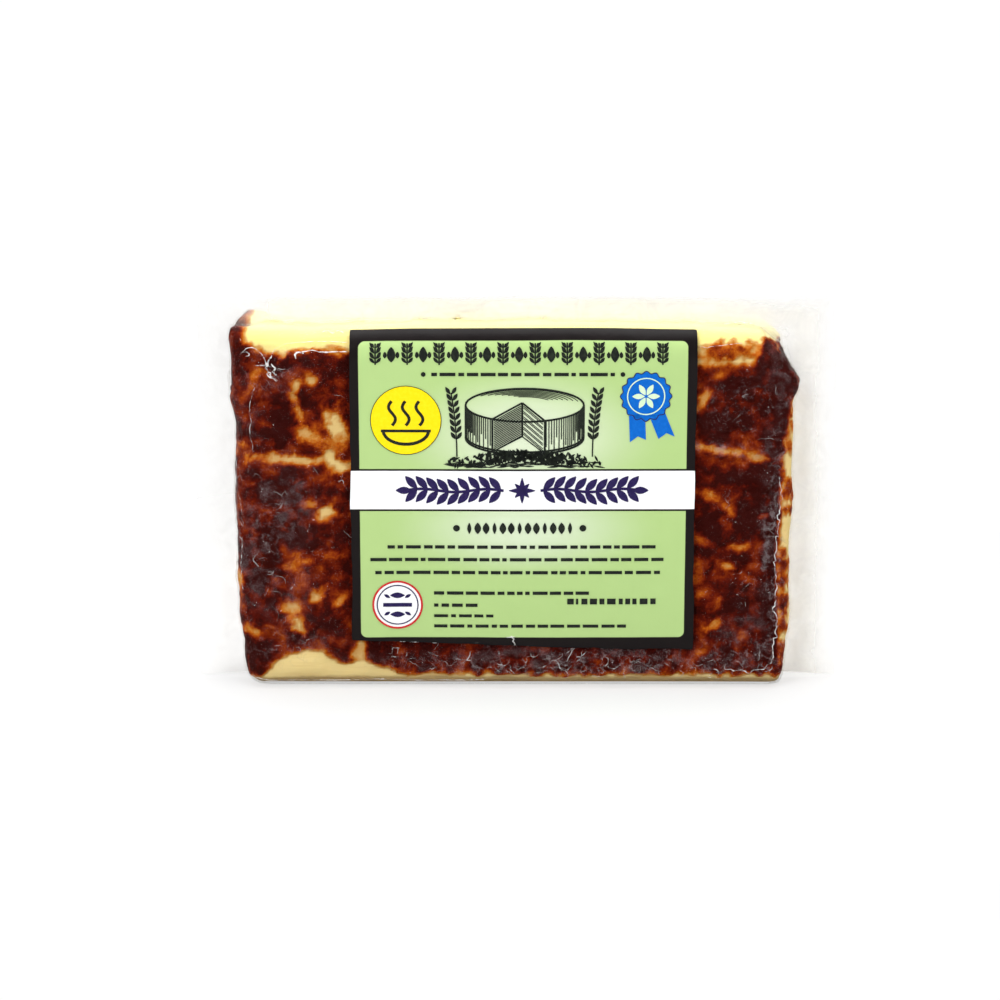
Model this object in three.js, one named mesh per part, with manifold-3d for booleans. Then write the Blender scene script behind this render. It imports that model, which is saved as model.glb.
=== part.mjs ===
// A slab of oven-browned bread cheese, vacuum-packed in clear film with a printed label on its front.
// The pack stands on its long edge: +X is to its right, -Y is its labelled front, +Z is up.
// Sizes are in millimetres.
import * as THREE from "three";
import { mergeVertices } from "three/addons/utils/BufferGeometryUtils.js";
import Module from "manifold-3d";

// The slab, film included. Its front is the browned top of the baked cheese.
const SLAB_DEPTH = 25;
const SLAB_HEIGHT = 93.5;
const FRONT_Y = -SLAB_DEPTH / 2;
const BACK_Y = SLAB_DEPTH / 2;

// How far each end of the slab stands out from the middle, at heights above the table.
// The left end is the rim of the baked cheese, with a thick lip near its top.
// The right end was cut, and the cut runs in towards the top corner.
const LEFT_END = [[0, 66.8], [9, 68.6], [18, 69.3], [36, 69.8], [54, 70.1], [67, 69.7], [75, 71.1], [93, 71.5]];
const RIGHT_END = [[0, 68.4], [10, 69.2], [17, 70.6], [28, 69.9], [54, 70.3], [73, 70.1], [79, 71.3], [86, 68.8], [93, 65.6]];

// How far the cut top edge stands off the slab's height, from left to right.
const TOP_EDGE = [[-72, 0], [-50, -0.7], [-20, 0.2], [15, 0.4], [45, -0.1], [66, -1.3]];

// Rounding of the edges round the front and the back, and of the corners seen from the front.
const FRONT_ROUND = { left: 5, right: 3.5, bottom: 4.5, top: 7 };
const BACK_ROUND = { left: 6, right: 3.5, bottom: 3.5, top: 3.5 };
const CORNER_ROUND = { left: { bottom: 3.2, top: 2.5 }, right: { bottom: 2, top: 4 } };

// The faces are a little crowned, and wander by less than a millimetre.
const CROWN = 0.5;
const WANDER = 0.7;
const WANDER_LENGTH = 23;

// The crust's blisters, the shallow groove that crosses them, and the layers of curd in the cut sides.
const BLISTER_HEIGHT = 1.5;
const BLISTER_SPACING = 6;
const GROOVE_Z = 60;
const GROOVE_DEPTH = 0.7;
const GROOVE_HALF_WIDTH = 2.2;
const CURD_HEIGHT = 0.8;
const CURD_SPACING = 6;

// The relief dies away near the table, where the pack rests on a flat.
const RESTING_HEIGHT = 5;

// The seal round the slab: two films welded into one thin flange, thicker at its root where they part.
// It runs up the left side, over the top and down the right side, and is a little narrower at its top.
const SEAL_Y = -2.5;
const SEAL_THICKNESS = 0.5;
const SEAL_LEFT = [[0, 80.4], [50, 80.2], [100, 79]];
const SEAL_RIGHT = [[0, 82], [50, 81.5], [100, 80]];
const SEAL_TOP = 99.6;
const SEAL_BOTTOM = 0.6;
const SEAL_WAVE = 2.2;
const SEAL_WAVE_SPACING = 16;
const ROOT_IN = 2.5;
const ROOT_BOTTOM = 1.5;
const ROOT_THICKNESS = 3.5;
const ROOT_REACH = 2;

// The label, a sheet that is bent over the rounded top of the front.
const LABEL_LEFT = -40.8;
const LABEL_RIGHT = 45.2;
const LABEL_BOTTOM = 11.4;
const LABEL_OVER_TOP = 5.8;
const LABEL_THICKNESS = 0.35;
const LABEL_GAP = 0.25;
const LABEL_MARGIN = 4;

// Mesh fineness, in steps.
const SLAB_STEPS = { across: 48, up: 30, round: 4, flat: 2 };
const SEAL_STEPS = { side: 20, top: 32, out: 4 };
const LABEL_STEPS = { across: 18, flat: 14, bend: 4 };

const { lerp, clamp, smoothstep } = THREE.MathUtils;

// Height of an outline given as [place, height] pairs, smoothed between them.
function along(outline, place) {
  const at = clamp(place, outline[0][0], outline.at(-1)[0]);
  const next = Math.max(1, outline.findIndex(([start]) => start >= at));
  const [[from, low], [to, high]] = [outline[next - 1], outline[next]];
  return lerp(low, high, smoothstep(at, from, to));
}

const leftEnd = (z) => -along(LEFT_END, z);
const rightEnd = (z) => along(RIGHT_END, z);
const topEdge = (x) => SLAB_HEIGHT + along(TOP_EDGE, x);

// A fixed number from 0 to 1 for each cell of a grid.
function cellValue(column, row, layer) {
  const mixed = 43758.5453 * Math.sin(127.1 * column + 311.7 * row + 74.7 * layer);
  return mixed - Math.floor(mixed);
}

// An uneven field from 0 to 1 whose lumps lie about this far apart.
function lumps(u, v, spacing, layer) {
  const column = Math.floor(u / spacing);
  const row = Math.floor(v / spacing);
  const across = smoothstep(u / spacing - column, 0, 1);
  const low = lerp(cellValue(column, row, layer), cellValue(column + 1, row, layer), across);
  const high = lerp(cellValue(column, row + 1, layer), cellValue(column + 1, row + 1, layer), across);
  return lerp(low, high, smoothstep(v / spacing - row, 0, 1));
}

// How far a face swells outwards at a point, apart from its crust.
function swell(x, z, layer) {
  const crown = (1 - (x / leftEnd(z)) ** 2) * (1 - (2 * z / SLAB_HEIGHT - 1) ** 2);
  return CROWN * clamp(crown, 0, 1) + WANDER * (lumps(x, z, WANDER_LENGTH, layer) - 0.5);
}

// The crust's relief at a point: blisters, and the groove that crosses them.
function crust(u, v, layer) {
  const turnedU = 0.8 * u + 0.6 * v;
  const turnedV = 0.8 * v - 0.6 * u;
  const large = lumps(u, v, BLISTER_SPACING, layer);
  const rough = 0.6 * large + 0.4 * lumps(turnedU, turnedV, 0.7 * BLISTER_SPACING, layer + 1);
  const grooveZ = GROOVE_Z + 3 * (lumps(u, 0, WANDER_LENGTH, layer) - 0.5);
  const groove = Math.exp(-(((v - grooveZ) / GROOVE_HALF_WIDTH) ** 2));
  return BLISTER_HEIGHT * (smoothstep(rough, 0.15, 0.85) - 0.5) * (1 - groove) - GROOVE_DEPTH * groove;
}

// 0 well inside the label's outline and 1 outside it.
function clearOfLabel(x, z) {
  const outside = Math.max(LABEL_LEFT - x, x - LABEL_RIGHT, LABEL_BOTTOM - z);
  return smoothstep(outside, 0, LABEL_MARGIN);
}

// The stations through the slab's depth: where each lies, and how far it has turned round an edge.
function depthStations() {
  const turns = Array.from({ length: SLAB_STEPS.round + 1 }, (_, i) => (i / SLAB_STEPS.round) * (Math.PI / 2));
  const flats = Array.from({ length: SLAB_STEPS.flat - 1 }, (_, i) => (i + 1) / SLAB_STEPS.flat);
  return [
    ...turns.map((turn) => ({ part: "front", turn })),
    ...flats.map((turn) => ({ part: "flat", turn })),
    ...turns.toReversed().map((turn) => ({ part: "back", turn })),
  ];
}

// Where a side of the slab lies at a station: its y, and how far it is drawn in from the outline.
function sideAt({ part, turn }, side) {
  const front = FRONT_ROUND[side];
  const back = BACK_ROUND[side];
  if (part === "flat") return { y: lerp(FRONT_Y + front, BACK_Y - back, turn), inset: 0 };
  if (part === "front") return { y: FRONT_Y + front * (1 - Math.cos(turn)), inset: front * (1 - Math.sin(turn)) };
  return { y: BACK_Y - back * (1 - Math.cos(turn)), inset: back * (1 - Math.sin(turn)) };
}

// Draws a point of an upright rectangle in to the rectangle's rounded corners.
function roundCorner(x, z, { left, right, bottom, top }) {
  const radius = CORNER_ROUND[x < 0 ? "left" : "right"][z < SLAB_HEIGHT / 2 ? "bottom" : "top"];
  const outX = x - clamp(x, left + radius, right - radius);
  const outZ = z - clamp(z, bottom + radius, top - radius);
  if (outX === 0 || outZ === 0) return [x, z];
  const keep = Math.max(Math.abs(outX), Math.abs(outZ)) / Math.hypot(outX, outZ);
  return [x - outX * (1 - keep), z - outZ * (1 - keep)];
}

// Maps a point of a cube's surface, each part from -1 to 1, onto the smooth slab.
function onSlab(a, b, c, stations) {
  const station = stations[Math.round(((b + 1) / 2) * (stations.length - 1))];
  const sideX = sideAt(station, a < 0 ? "left" : "right");
  const sideZ = sideAt(station, c < 0 ? "bottom" : "top");
  const top = topEdge(a * rightEnd(SLAB_HEIGHT / 2)) - sideAt(station, "top").inset;
  const bottom = sideAt(station, "bottom").inset;
  const height = lerp(bottom, top, (c + 1) / 2);
  const left = leftEnd(height) + sideAt(station, "left").inset;
  const right = rightEnd(height) - sideAt(station, "right").inset;
  const [x, z] = roundCorner(lerp(left, right, (a + 1) / 2), height, { left, right, bottom, top });
  if (Math.abs(b) === 1) return new THREE.Vector3(x, b < 0 ? FRONT_Y : BACK_Y, z);
  const towardsTop = c ** 8 / (a ** 8 + c ** 8);
  return new THREE.Vector3(x, lerp(sideX.y, sideZ.y, towardsTop), z);
}

// How far the surface stands off the smooth slab at a point with this outward normal.
function relief({ x, y, z }, normal) {
  const onFront = normal.y < 0;
  const facing = Math.abs(normal.y);
  const crusted = Math.max(smoothstep(facing, 0.25, 0.8), smoothstep(-normal.x, 0.4, 0.8));
  const curd = CURD_HEIGHT * (lumps(x + z, 2 * y, CURD_SPACING, 5) - 0.5);
  const rough = lerp(curd, crust(x + 0.6 * y, z, onFront ? 11 : 21), crusted);
  const bare = onFront ? clearOfLabel(x, z) : 1;
  return smoothstep(z, 0, RESTING_HEIGHT) * (facing * swell(x, z, onFront ? 1 : 2) + bare * rough);
}

// A box geometry from -1 to 1 each way whose faces share their vertices.
function closedBox(alongX, alongY, alongZ) {
  const box = new THREE.BoxGeometry(2, 2, 2, alongX, alongY, alongZ);
  box.deleteAttribute("normal");
  box.deleteAttribute("uv");
  return mergeVertices(box);
}

// Moves each vertex of a geometry to where a function of its place puts it.
function moveVertices(geometry, place) {
  const vertices = geometry.getAttribute("position");
  const vertex = new THREE.Vector3();
  for (let i = 0; i < vertices.count; i++) {
    const moved = place(vertex.fromBufferAttribute(vertices, i), i);
    vertices.setXYZ(i, moved.x, moved.y, moved.z);
  }
  return geometry;
}

function slabGeometry() {
  const stations = depthStations();
  const geometry = closedBox(SLAB_STEPS.across, stations.length - 1, SLAB_STEPS.up);
  moveVertices(geometry, ({ x, y, z }) => onSlab(x, y, z, stations));
  geometry.computeVertexNormals();
  const normals = geometry.getAttribute("normal");
  const normal = new THREE.Vector3();
  moveVertices(geometry, (vertex, i) => {
    normal.fromBufferAttribute(normals, i);
    vertex.addScaledVector(normal, relief(vertex, normal));
    return vertex.setZ(Math.max(vertex.z, 0));
  });
  geometry.deleteAttribute("normal");
  return geometry;
}

// A step of the way round the slab, as parts of its width and height.
function roundTheSlab(step) {
  const { side, top } = SEAL_STEPS;
  if (step <= side) return { across: 0, up: step / side };
  if (step <= side + top) return { across: (step - side) / top, up: 1 };
  return { across: 1, up: (2 * side + top - step) / side };
}

function sealGeometry() {
  const steps = 2 * SEAL_STEPS.side + SEAL_STEPS.top;
  return moveVertices(closedBox(steps, 1, SEAL_STEPS.out), (vertex) => {
    const { across, up } = roundTheSlab(Math.round(((vertex.x + 1) / 2) * steps));
    const out = ((vertex.z + 1) / 2) ** 1.5;
    const edgeZ = lerp(SEAL_BOTTOM, SEAL_TOP, up);
    const edgeX = lerp(-along(SEAL_LEFT, edgeZ), along(SEAL_RIGHT, edgeZ), across);
    const rootZ = lerp(ROOT_BOTTOM, topEdge(edgeX) - ROOT_IN, up);
    const rootX = lerp(leftEnd(rootZ) + ROOT_IN, rightEnd(rootZ) - ROOT_IN, across);
    const x = lerp(rootX, edgeX, out);
    const z = lerp(rootZ, edgeZ, out);
    const wave = SEAL_WAVE * out * (lumps(x, z, SEAL_WAVE_SPACING, 31) - 0.5);
    const fromRoot = Math.hypot(x - rootX, z - rootZ);
    const thickness = SEAL_THICKNESS + ROOT_THICKNESS * Math.exp(-fromRoot / ROOT_REACH);
    return { x, y: SEAL_Y + wave + (vertex.y * thickness) / 2, z };
  });
}

// A point of the label's sheet at a distance up it, stood off the front along the surface's normal.
function onFront(x, up, off) {
  const bend = topEdge(x) - FRONT_ROUND.top;
  const turn = Math.max(up - bend, 0) / FRONT_ROUND.top;
  const z = Math.min(up, bend);
  const reach = FRONT_ROUND.top + off + Math.cos(turn) * swell(x, z + FRONT_ROUND.top * Math.sin(turn), 1);
  return { x, y: FRONT_Y + FRONT_ROUND.top - reach * Math.cos(turn), z: z + reach * Math.sin(turn) };
}

function labelGeometry() {
  const rows = LABEL_STEPS.flat + LABEL_STEPS.bend;
  const bend = SLAB_HEIGHT - FRONT_ROUND.top;
  return moveVertices(closedBox(LABEL_STEPS.across, 1, rows), (vertex) => {
    const row = Math.round(((vertex.z + 1) / 2) * rows);
    const up = row < LABEL_STEPS.flat
      ? lerp(LABEL_BOTTOM, bend, row / LABEL_STEPS.flat)
      : bend + (LABEL_OVER_TOP * (row - LABEL_STEPS.flat)) / LABEL_STEPS.bend;
    const off = LABEL_GAP + (vertex.y < 0 ? LABEL_THICKNESS : 0);
    return onFront(lerp(LABEL_LEFT, LABEL_RIGHT, (vertex.x + 1) / 2), up, off);
  });
}

// Joins closed geometries into one solid.
async function joined(...geometries) {
  const wasm = await Module();
  wasm.setup();
  const solids = geometries.map((geometry) => new wasm.Manifold(new wasm.Mesh({
    numProp: 3,
    vertProperties: geometry.getAttribute("position").array,
    triVerts: new Uint32Array(geometry.index.array),
  })));
  const mesh = solids.reduce((whole, solid) => whole.add(solid)).getMesh();
  return new THREE.BufferGeometry()
    .setAttribute("position", new THREE.BufferAttribute(mesh.vertProperties, 3))
    .setIndex(new THREE.BufferAttribute(mesh.triVerts, 1));
}

function named(name, geometry, material) {
  const mesh = new THREE.Mesh(geometry, new THREE.MeshStandardMaterial(material));
  mesh.name = name;
  return mesh;
}

const pack = new THREE.Group();
pack.add(
  named("sealed_pouch", await joined(slabGeometry(), sealGeometry()), { color: 0x6b2f14, roughness: 0.25, metalness: 0 }),
  named("label", labelGeometry(), { color: 0xb9de8c, roughness: 0.35, metalness: 0 }),
);

// The origin is under the middle of the whole pack, on the table.
const middle = new THREE.Box3().setFromObject(pack).getCenter(new THREE.Vector3());
pack.position.set(-middle.x, -middle.y, 0);

export default pack;
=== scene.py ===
"""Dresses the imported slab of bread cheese: the browned cheese, the clear film round it and its label.

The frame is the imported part's own, in metres: +X is to the pack's right, -Y is its labelled front and
+Z is up. Tables of places on the pack are in millimetres, and so are the fields that are reckoned there.
"""

import itertools
import logging
import math
from dataclasses import dataclass, field
from enum import Enum
from typing import Any, Callable, Iterable, Sequence

import bpy
import numpy as np
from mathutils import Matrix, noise


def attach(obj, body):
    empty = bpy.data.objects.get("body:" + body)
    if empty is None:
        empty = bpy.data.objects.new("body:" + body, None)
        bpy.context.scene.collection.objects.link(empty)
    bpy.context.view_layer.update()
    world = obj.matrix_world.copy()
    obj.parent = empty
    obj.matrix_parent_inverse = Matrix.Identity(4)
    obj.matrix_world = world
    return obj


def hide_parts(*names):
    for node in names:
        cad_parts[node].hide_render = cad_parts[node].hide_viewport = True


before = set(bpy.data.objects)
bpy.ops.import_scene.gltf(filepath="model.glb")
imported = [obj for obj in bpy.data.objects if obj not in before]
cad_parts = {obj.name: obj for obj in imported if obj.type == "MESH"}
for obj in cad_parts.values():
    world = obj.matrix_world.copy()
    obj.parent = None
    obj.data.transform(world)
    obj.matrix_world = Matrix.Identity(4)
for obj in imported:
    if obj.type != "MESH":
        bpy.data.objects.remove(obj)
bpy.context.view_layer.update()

log = logging.getLogger("bread_cheese")

MM = 0.001
FRONT_Y = -12.5
BACK_Y = 12.5
SEAL_Y = -2.5
WHITE = (1.0, 1.0, 1.0, 1.0)
WHITE_GLOW = 1.02
FILM_TINT = (0.99, 0.99, 0.985, 1.0)

Field = np.ndarray
Pair = tuple[float, float]
Place = tuple[float, float, float]
Colour = tuple[float, float, float, float]
Outline = Sequence[Pair]
Shape = Callable[[Field, Field], tuple[Field, Field]]
Piece = bpy.types.Object
Values = dict[Any, Any] | None


class Slot(Enum):
    """The material slots."""

    CHEESE = "cheese_in_film"
    PAPER = "label_paper"
    FILM = "clear_film"
    PRINT = "label_print"


# Shader maths


class Wire:
    """A socket's number, which is reckoned with as a Python number is."""

    def __init__(self, graph: "Graph", socket: bpy.types.NodeSocket) -> None:
        """Wraps one output socket of a graph."""
        self.graph = graph
        self.socket = socket

    def reckon(self, operation: str, *others: Any) -> "Wire":
        """Gives the result of a Math node on this number and others."""
        return self.graph.node("ShaderNodeMath", {"operation": operation}, dict(enumerate((self, *others))))

    def __add__(self, other: Any) -> "Wire":
        """Adds a number or a wire."""
        return self.reckon("ADD", other)

    __radd__ = __add__

    def __sub__(self, other: Any) -> "Wire":
        """Takes a number or a wire away."""
        return self.reckon("SUBTRACT", other)

    def __rsub__(self, other: Any) -> "Wire":
        """Takes this away from a number."""
        return self * -1.0 + other

    def __mul__(self, other: Any) -> "Wire":
        """Multiplies by a number or a wire."""
        return self.reckon("MULTIPLY", other)

    __rmul__ = __mul__

    def __truediv__(self, other: Any) -> "Wire":
        """Divides by a number or a wire."""
        return self.reckon("DIVIDE", other)

    def __abs__(self) -> "Wire":
        """Gives the size without the sign."""
        return self.reckon("ABSOLUTE")

    def eased(self, low: float, high: float) -> "Wire":
        """Rises smoothly from 0 at low to 1 at high."""
        ends = {"Value": self, "From Min": low, "From Max": high}
        return self.graph.node("ShaderNodeMapRange", {"interpolation_type": "SMOOTHSTEP"}, ends)


class Graph:
    """The nodes of one material or of the world."""

    def __init__(self, tree: bpy.types.NodeTree) -> None:
        """Empties a node tree and builds in it."""
        self.tree = tree
        tree.nodes.clear()

    def node(self, kind: str, settings: Values = None, sockets: Values = None, output: Any = 0) -> Wire:
        """Adds a node.

        Args:
            kind: The node's type.
            settings: Its own settings, and "stops" for a ramp's places and colours.
            sockets: Values or wires for its input sockets, by name or number.
            output: The name or number of the output that is wanted.

        Returns:
            The output socket, wrapped.
        """
        node = self.tree.nodes.new(kind)
        for name, value in (settings or {}).items():
            if name == "stops":
                self._set_stops(node.color_ramp, value)
            else:
                setattr(node, name, value)
        for key, value in (sockets or {}).items():
            if isinstance(value, Wire):
                self.tree.links.new(value.socket, node.inputs[key])
            else:
                node.inputs[key].default_value = value
        return Wire(self, node.outputs[output])

    @staticmethod
    def _set_stops(ramp: bpy.types.ColorRamp, stops: Sequence[tuple[float, Colour]]) -> None:
        """Gives a ramp its places and colours."""
        while len(ramp.elements) < len(stops):
            ramp.elements.new(1.0)
        for element, (place, colour) in zip(ramp.elements, stops):
            element.position = place
            element.color = colour

    def marked(self, name: str) -> Wire:
        """Reads a number that the mesh carries at its points."""
        return self.node("ShaderNodeAttribute", {"attribute_name": name}, output="Fac")

    def place(self) -> Wire:
        """Gives the place on the object, in metres."""
        return self.node("ShaderNodeTexCoord", output="Object")

    def axis(self, number: int) -> Wire:
        """Gives the place on the object along one axis, in metres."""
        return self.node("ShaderNodeSeparateXYZ", {}, {0: self.place()}, number)

    def grain(
        self, spacing: float, detail: float = 2.0, stretch: Colour | None = None, **sockets: float
    ) -> Wire:
        """Gives an uneven field from 0 to 1 whose lumps lie about spacing metres apart."""
        place = self.place()
        if stretch:
            place = self.node("ShaderNodeMapping", {}, {"Vector": place, "Scale": stretch[:3]})
        values = {"Vector": place, "Scale": 1 / spacing, "Detail": detail, **sockets}
        return self.node("ShaderNodeTexNoise", {}, values)

    def slant(self, blend: float, output: str, **sockets: Wire) -> Wire:
        """Says how far the surface turns from the eye."""
        return self.node("ShaderNodeLayerWeight", {}, {"Blend": blend, **sockets}, output)

    def blend(self, share: Any, first: Any, second: Any) -> Wire:
        """Mixes two colours by a share of the second."""
        return self.node("ShaderNodeMix", {"data_type": "RGBA"}, {0: share, 6: first, 7: second}, 2)

    def bump(self, height: Wire, depth: float, under: Wire | None = None) -> Wire:
        """Turns a height field into a normal; depth is in metres."""
        sockets = {"Height": height, "Distance": depth}
        if under:
            sockets["Normal"] = under
        return self.node("ShaderNodeBump", {}, sockets)

    def body(self, colour: Any, roughness: Any, specular: float, **sockets: Any) -> Wire:
        """Makes a solid surface of a colour."""
        values = {"Base Color": colour, "Roughness": roughness, "Specular IOR Level": specular, **sockets}
        return self.node("ShaderNodeBsdfPrincipled", {}, values)

    def clear(self, tint: Colour) -> Wire:
        """Makes a surface that lets light straight through."""
        return self.node("ShaderNodeBsdfTransparent", {}, {"Color": tint})

    def gloss(self, roughness: float, normal: Wire) -> Wire:
        """Makes a surface that only reflects."""
        sockets = {"Color": WHITE, "Roughness": roughness, "Normal": normal}
        return self.node("ShaderNodeBsdfGlossy", {}, sockets)

    def either(self, share: Any, first: Wire, second: Wire) -> Wire:
        """Mixes two surfaces by a share of the second."""
        return self.node("ShaderNodeMixShader", {}, {0: share, 1: first, 2: second})

    def finish(self, surface: Wire, kind: str = "ShaderNodeOutputMaterial") -> None:
        """Leads a surface to the output."""
        output = self.tree.nodes.new(kind)
        self.tree.links.new(surface.socket, output.inputs["Surface"])


def tone(red: int, green: int, blue: int) -> Colour:
    """Gives the colour of screen values from 0 to 255."""

    def linear(value: int) -> float:
        share = value / 255
        return share / 12.92 if share <= 0.04045 else ((share + 0.055) / 1.055) ** 2.4

    return (linear(red), linear(green), linear(blue), 1.0)


@dataclass(frozen=True)
class Finish:
    """A finish with a name, made into a material once."""

    name: str

    def material(self) -> bpy.types.Material:
        """Makes the material."""
        material = bpy.data.materials.new(self.name)
        material.use_nodes = True
        self.paint(Graph(material.node_tree))
        return material

    def paint(self, graph: Graph) -> None:
        """Builds the finish's nodes."""
        raise NotImplementedError


@dataclass(frozen=True)
class BakedCheese(Finish):
    """Pale curd that the oven browned in patches, read from the mesh's browned marks."""

    name: str = "baked_cheese"
    lump: float = 1.9 * MM
    speck: float = 0.5 * MM
    layer: float = 1.1 * MM
    clot: float = 7 * MM
    blister: float = 1.2 * MM
    relief: float = 0.8 * MM
    top_edge: Pair = (85 * MM, 91 * MM)
    front_edge: Pair = (-11 * MM, -4 * MM)
    low_edge: Pair = (7 * MM, 12 * MM)
    # Heights where the painted shade at the very foot fades out.
    foot_edge_painted_shade: Pair = (2.4 * MM, 3.6 * MM)
    curd: tuple[Colour, Colour] = (tone(223, 195, 128), tone(232, 209, 148))
    # Painted light: the top face lighter, and paler still toward the back.
    top_curd_painted_light: tuple[Colour, Colour] = (tone(243, 228, 142), tone(246, 238, 184))
    # Painted light: the curd lighter low down.
    low_curd_painted_light: Colour = tone(236, 213, 150)
    # Painted shade: darker curd at the very foot, where the slab meets the floor.
    foot_curd_painted_shade: Colour = tone(164, 135, 94)
    crust: tuple[tuple[float, Colour], ...] = (
        (0.0, tone(214, 183, 119)),
        (0.12, tone(202, 158, 94)),
        (0.24, tone(194, 126, 50)),
        (0.36, tone(184, 92, 16)),
        (0.5, tone(150, 60, 8)),
        (0.66, tone(117, 34, 4)),
        (0.82, tone(85, 14, 1)),
        (1.0, tone(52, 7, 3)),
    )

    def paint(self, graph: Graph) -> None:
        """Builds the browned colours, the layers of curd and their relief."""
        browned = graph.marked("browned")
        lumps = graph.grain(self.lump, 4.0, Roughness=0.6, Distortion=0.5)
        specks = graph.grain(self.speck, 3.0)
        edge = browned.eased(0.02, 0.42)
        shade = browned + edge * ((lumps - 0.5) * 0.62 + (specks - 0.5) * 0.34)
        layers = graph.grain(self.layer, 3.0, stretch=(0.06, 0.6, 1.0, 1.0))
        crust = graph.node("ShaderNodeValToRGB", {"stops": self.crust}, {"Fac": shade})
        colour = graph.blend(shade.eased(0.0, 0.12), self._curd(graph, layers), crust)
        blisters = graph.grain(self.blister, 4.0, Roughness=0.6)
        sockets = {
            "Normal": graph.bump(blisters * edge + layers * (1 - edge) * 0.3, self.relief),
            "Subsurface Weight": 0.08,
            "Subsurface Radius": (2.4 * MM, 1.2 * MM, 0.5 * MM),
            "Subsurface Scale": 1.0,
        }
        graph.finish(graph.body(colour, graph.grain(3 * MM) * 0.2 + 0.42, 0.04, **sockets))

    def _curd(self, graph: Graph, layers: Wire) -> Wire:
        """Colours the pale curd: lighter on top and paler still toward the back, as painted light; lighter
        low down, as painted light; and darker at the very foot, as painted shade.
        """
        clots = graph.grain(self.clot, 2.0)
        pattern = (layers - 0.5) * 1.1 + (clots - 0.5) * 0.8 + 0.5
        depth, height = graph.axis(1), graph.axis(2)
        top = (height + (clots - 0.5) * 3 * MM).eased(*self.top_edge)
        # Painted shade at the very foot, where the slab meets the floor.
        foot_painted_shade = 1 - (height + (clots - 0.5) * 2 * MM).eased(*self.foot_edge_painted_shade)
        curd = graph.blend(pattern, *self.curd)
        # Painted light on the top face, paler still toward the back.
        curd = graph.blend(top * 0.8, curd, self.top_curd_painted_light[0])
        curd = graph.blend(top * depth.eased(*self.front_edge) * 0.85, curd, self.top_curd_painted_light[1])
        # Painted light low down on the slab.
        curd = graph.blend((1 - height.eased(*self.low_edge)) * 0.7, curd, self.low_curd_painted_light)
        return graph.blend(foot_painted_shade * 0.8, curd, self.foot_curd_painted_shade)


@dataclass(frozen=True)
class ClearFilm(Finish):
    """Clear film that clings to what it holds, with a painted greyish sheen and fine crease lines painted
    whitish as glints where the mesh's marks say.
    """

    name: str = "clear_film"
    ripple: float = 1.1 * MM
    crease_cell: float = 2.7 * MM
    crease_bend: float = 4 * MM
    glint_speck: float = 0.55 * MM
    relief: float = 0.5 * MM
    most_shine: float = 0.3

    def paint(self, graph: Graph) -> None:
        """Builds the see-through film with its glints, a painted greyish sheen and fine crease lines painted
        white as glints.
        """
        clinging = graph.marked("clinging")
        ripples = graph.grain(self.ripple, 3.0, Distortion=0.8)
        swell = graph.grain(6 * MM, 1.0)
        normal = graph.bump(ripples * clinging * 0.7 + swell * 0.4, self.relief)
        # Specks painted as glints, which also raise the film's gloss.
        glint_specks = graph.grain(self.glint_speck, 2.0, Distortion=1.4).eased(0.6, 0.7)
        glint_specks = glint_specks * graph.grain(3 * MM, 2.0).eased(0.42, 0.66) * clinging
        shine = graph.slant(0.33, "Fresnel", Normal=normal) - 0.06
        shine = shine.reckon("MAXIMUM", 0.0).reckon("MINIMUM", self.most_shine)
        shine = shine * (0.9 - clinging * 0.55) + glint_specks * 0.12
        patchy = graph.grain(3.2 * MM, 3.0, Distortion=0.6).eased(0.42, 0.7)
        # Painted sheen and glints: a greyish surface mixed in on patches, crease lines and specks.
        painted_sheen_and_glints = graph.marked("painted_sheen") * patchy * 0.11 + self._crease_glints(graph) * 0.22 + glint_specks * 0.06
        film = graph.either(shine, graph.clear(FILM_TINT), graph.gloss(0.12, normal))
        # The greyish body is the painted sheen and glints.
        graph.finish(graph.either(painted_sheen_and_glints, film, graph.body(tone(190, 176, 178), 0.5, 0.1)))

    def _crease_glints(self, graph: Graph) -> Wire:
        """Gives a broken net of fine crease lines, which the film paints whitish as glints."""
        warp = graph.grain(2.4 * MM, 2.0)
        shift = graph.node("ShaderNodeCombineXYZ", {}, {0: warp, 1: warp, 2: warp * -1.0})
        ends = {0: shift, 1: (self.crease_bend,) * 3, 2: graph.place()}
        bent = graph.node("ShaderNodeVectorMath", {"operation": "MULTIPLY_ADD"}, ends)
        net = {"Vector": bent, "Scale": 1 / self.crease_cell}
        cells = graph.node("ShaderNodeTexVoronoi", {"feature": "DISTANCE_TO_EDGE"}, net, "Distance")
        broken = graph.grain(1.7 * MM, 2.0).eased(0.47, 0.6)
        return (1 - cells.eased(0.0, 0.1)) * broken * graph.marked("crease_glints")


@dataclass(frozen=True)
class FoldedFilm(Finish):
    """Film gathered into a tight fold or bead, with a near-white body that is a painted highlight."""

    name: str = "fold_painted_highlight"
    share: float = 0.42

    def paint(self, graph: Graph) -> None:
        """Builds a half-clear surface whose near-white share is a painted highlight."""
        patchy = graph.grain(1.5 * MM, 2.0).eased(0.38, 0.62)
        share = (1 - graph.slant(0.5, "Facing")) * self.share * (patchy * 0.85 + 0.15)
        # The near-white body is the painted highlight.
        graph.finish(graph.either(share, graph.clear(FILM_TINT), graph.body(tone(250, 248, 247), 0.25, 0.9)))


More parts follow.
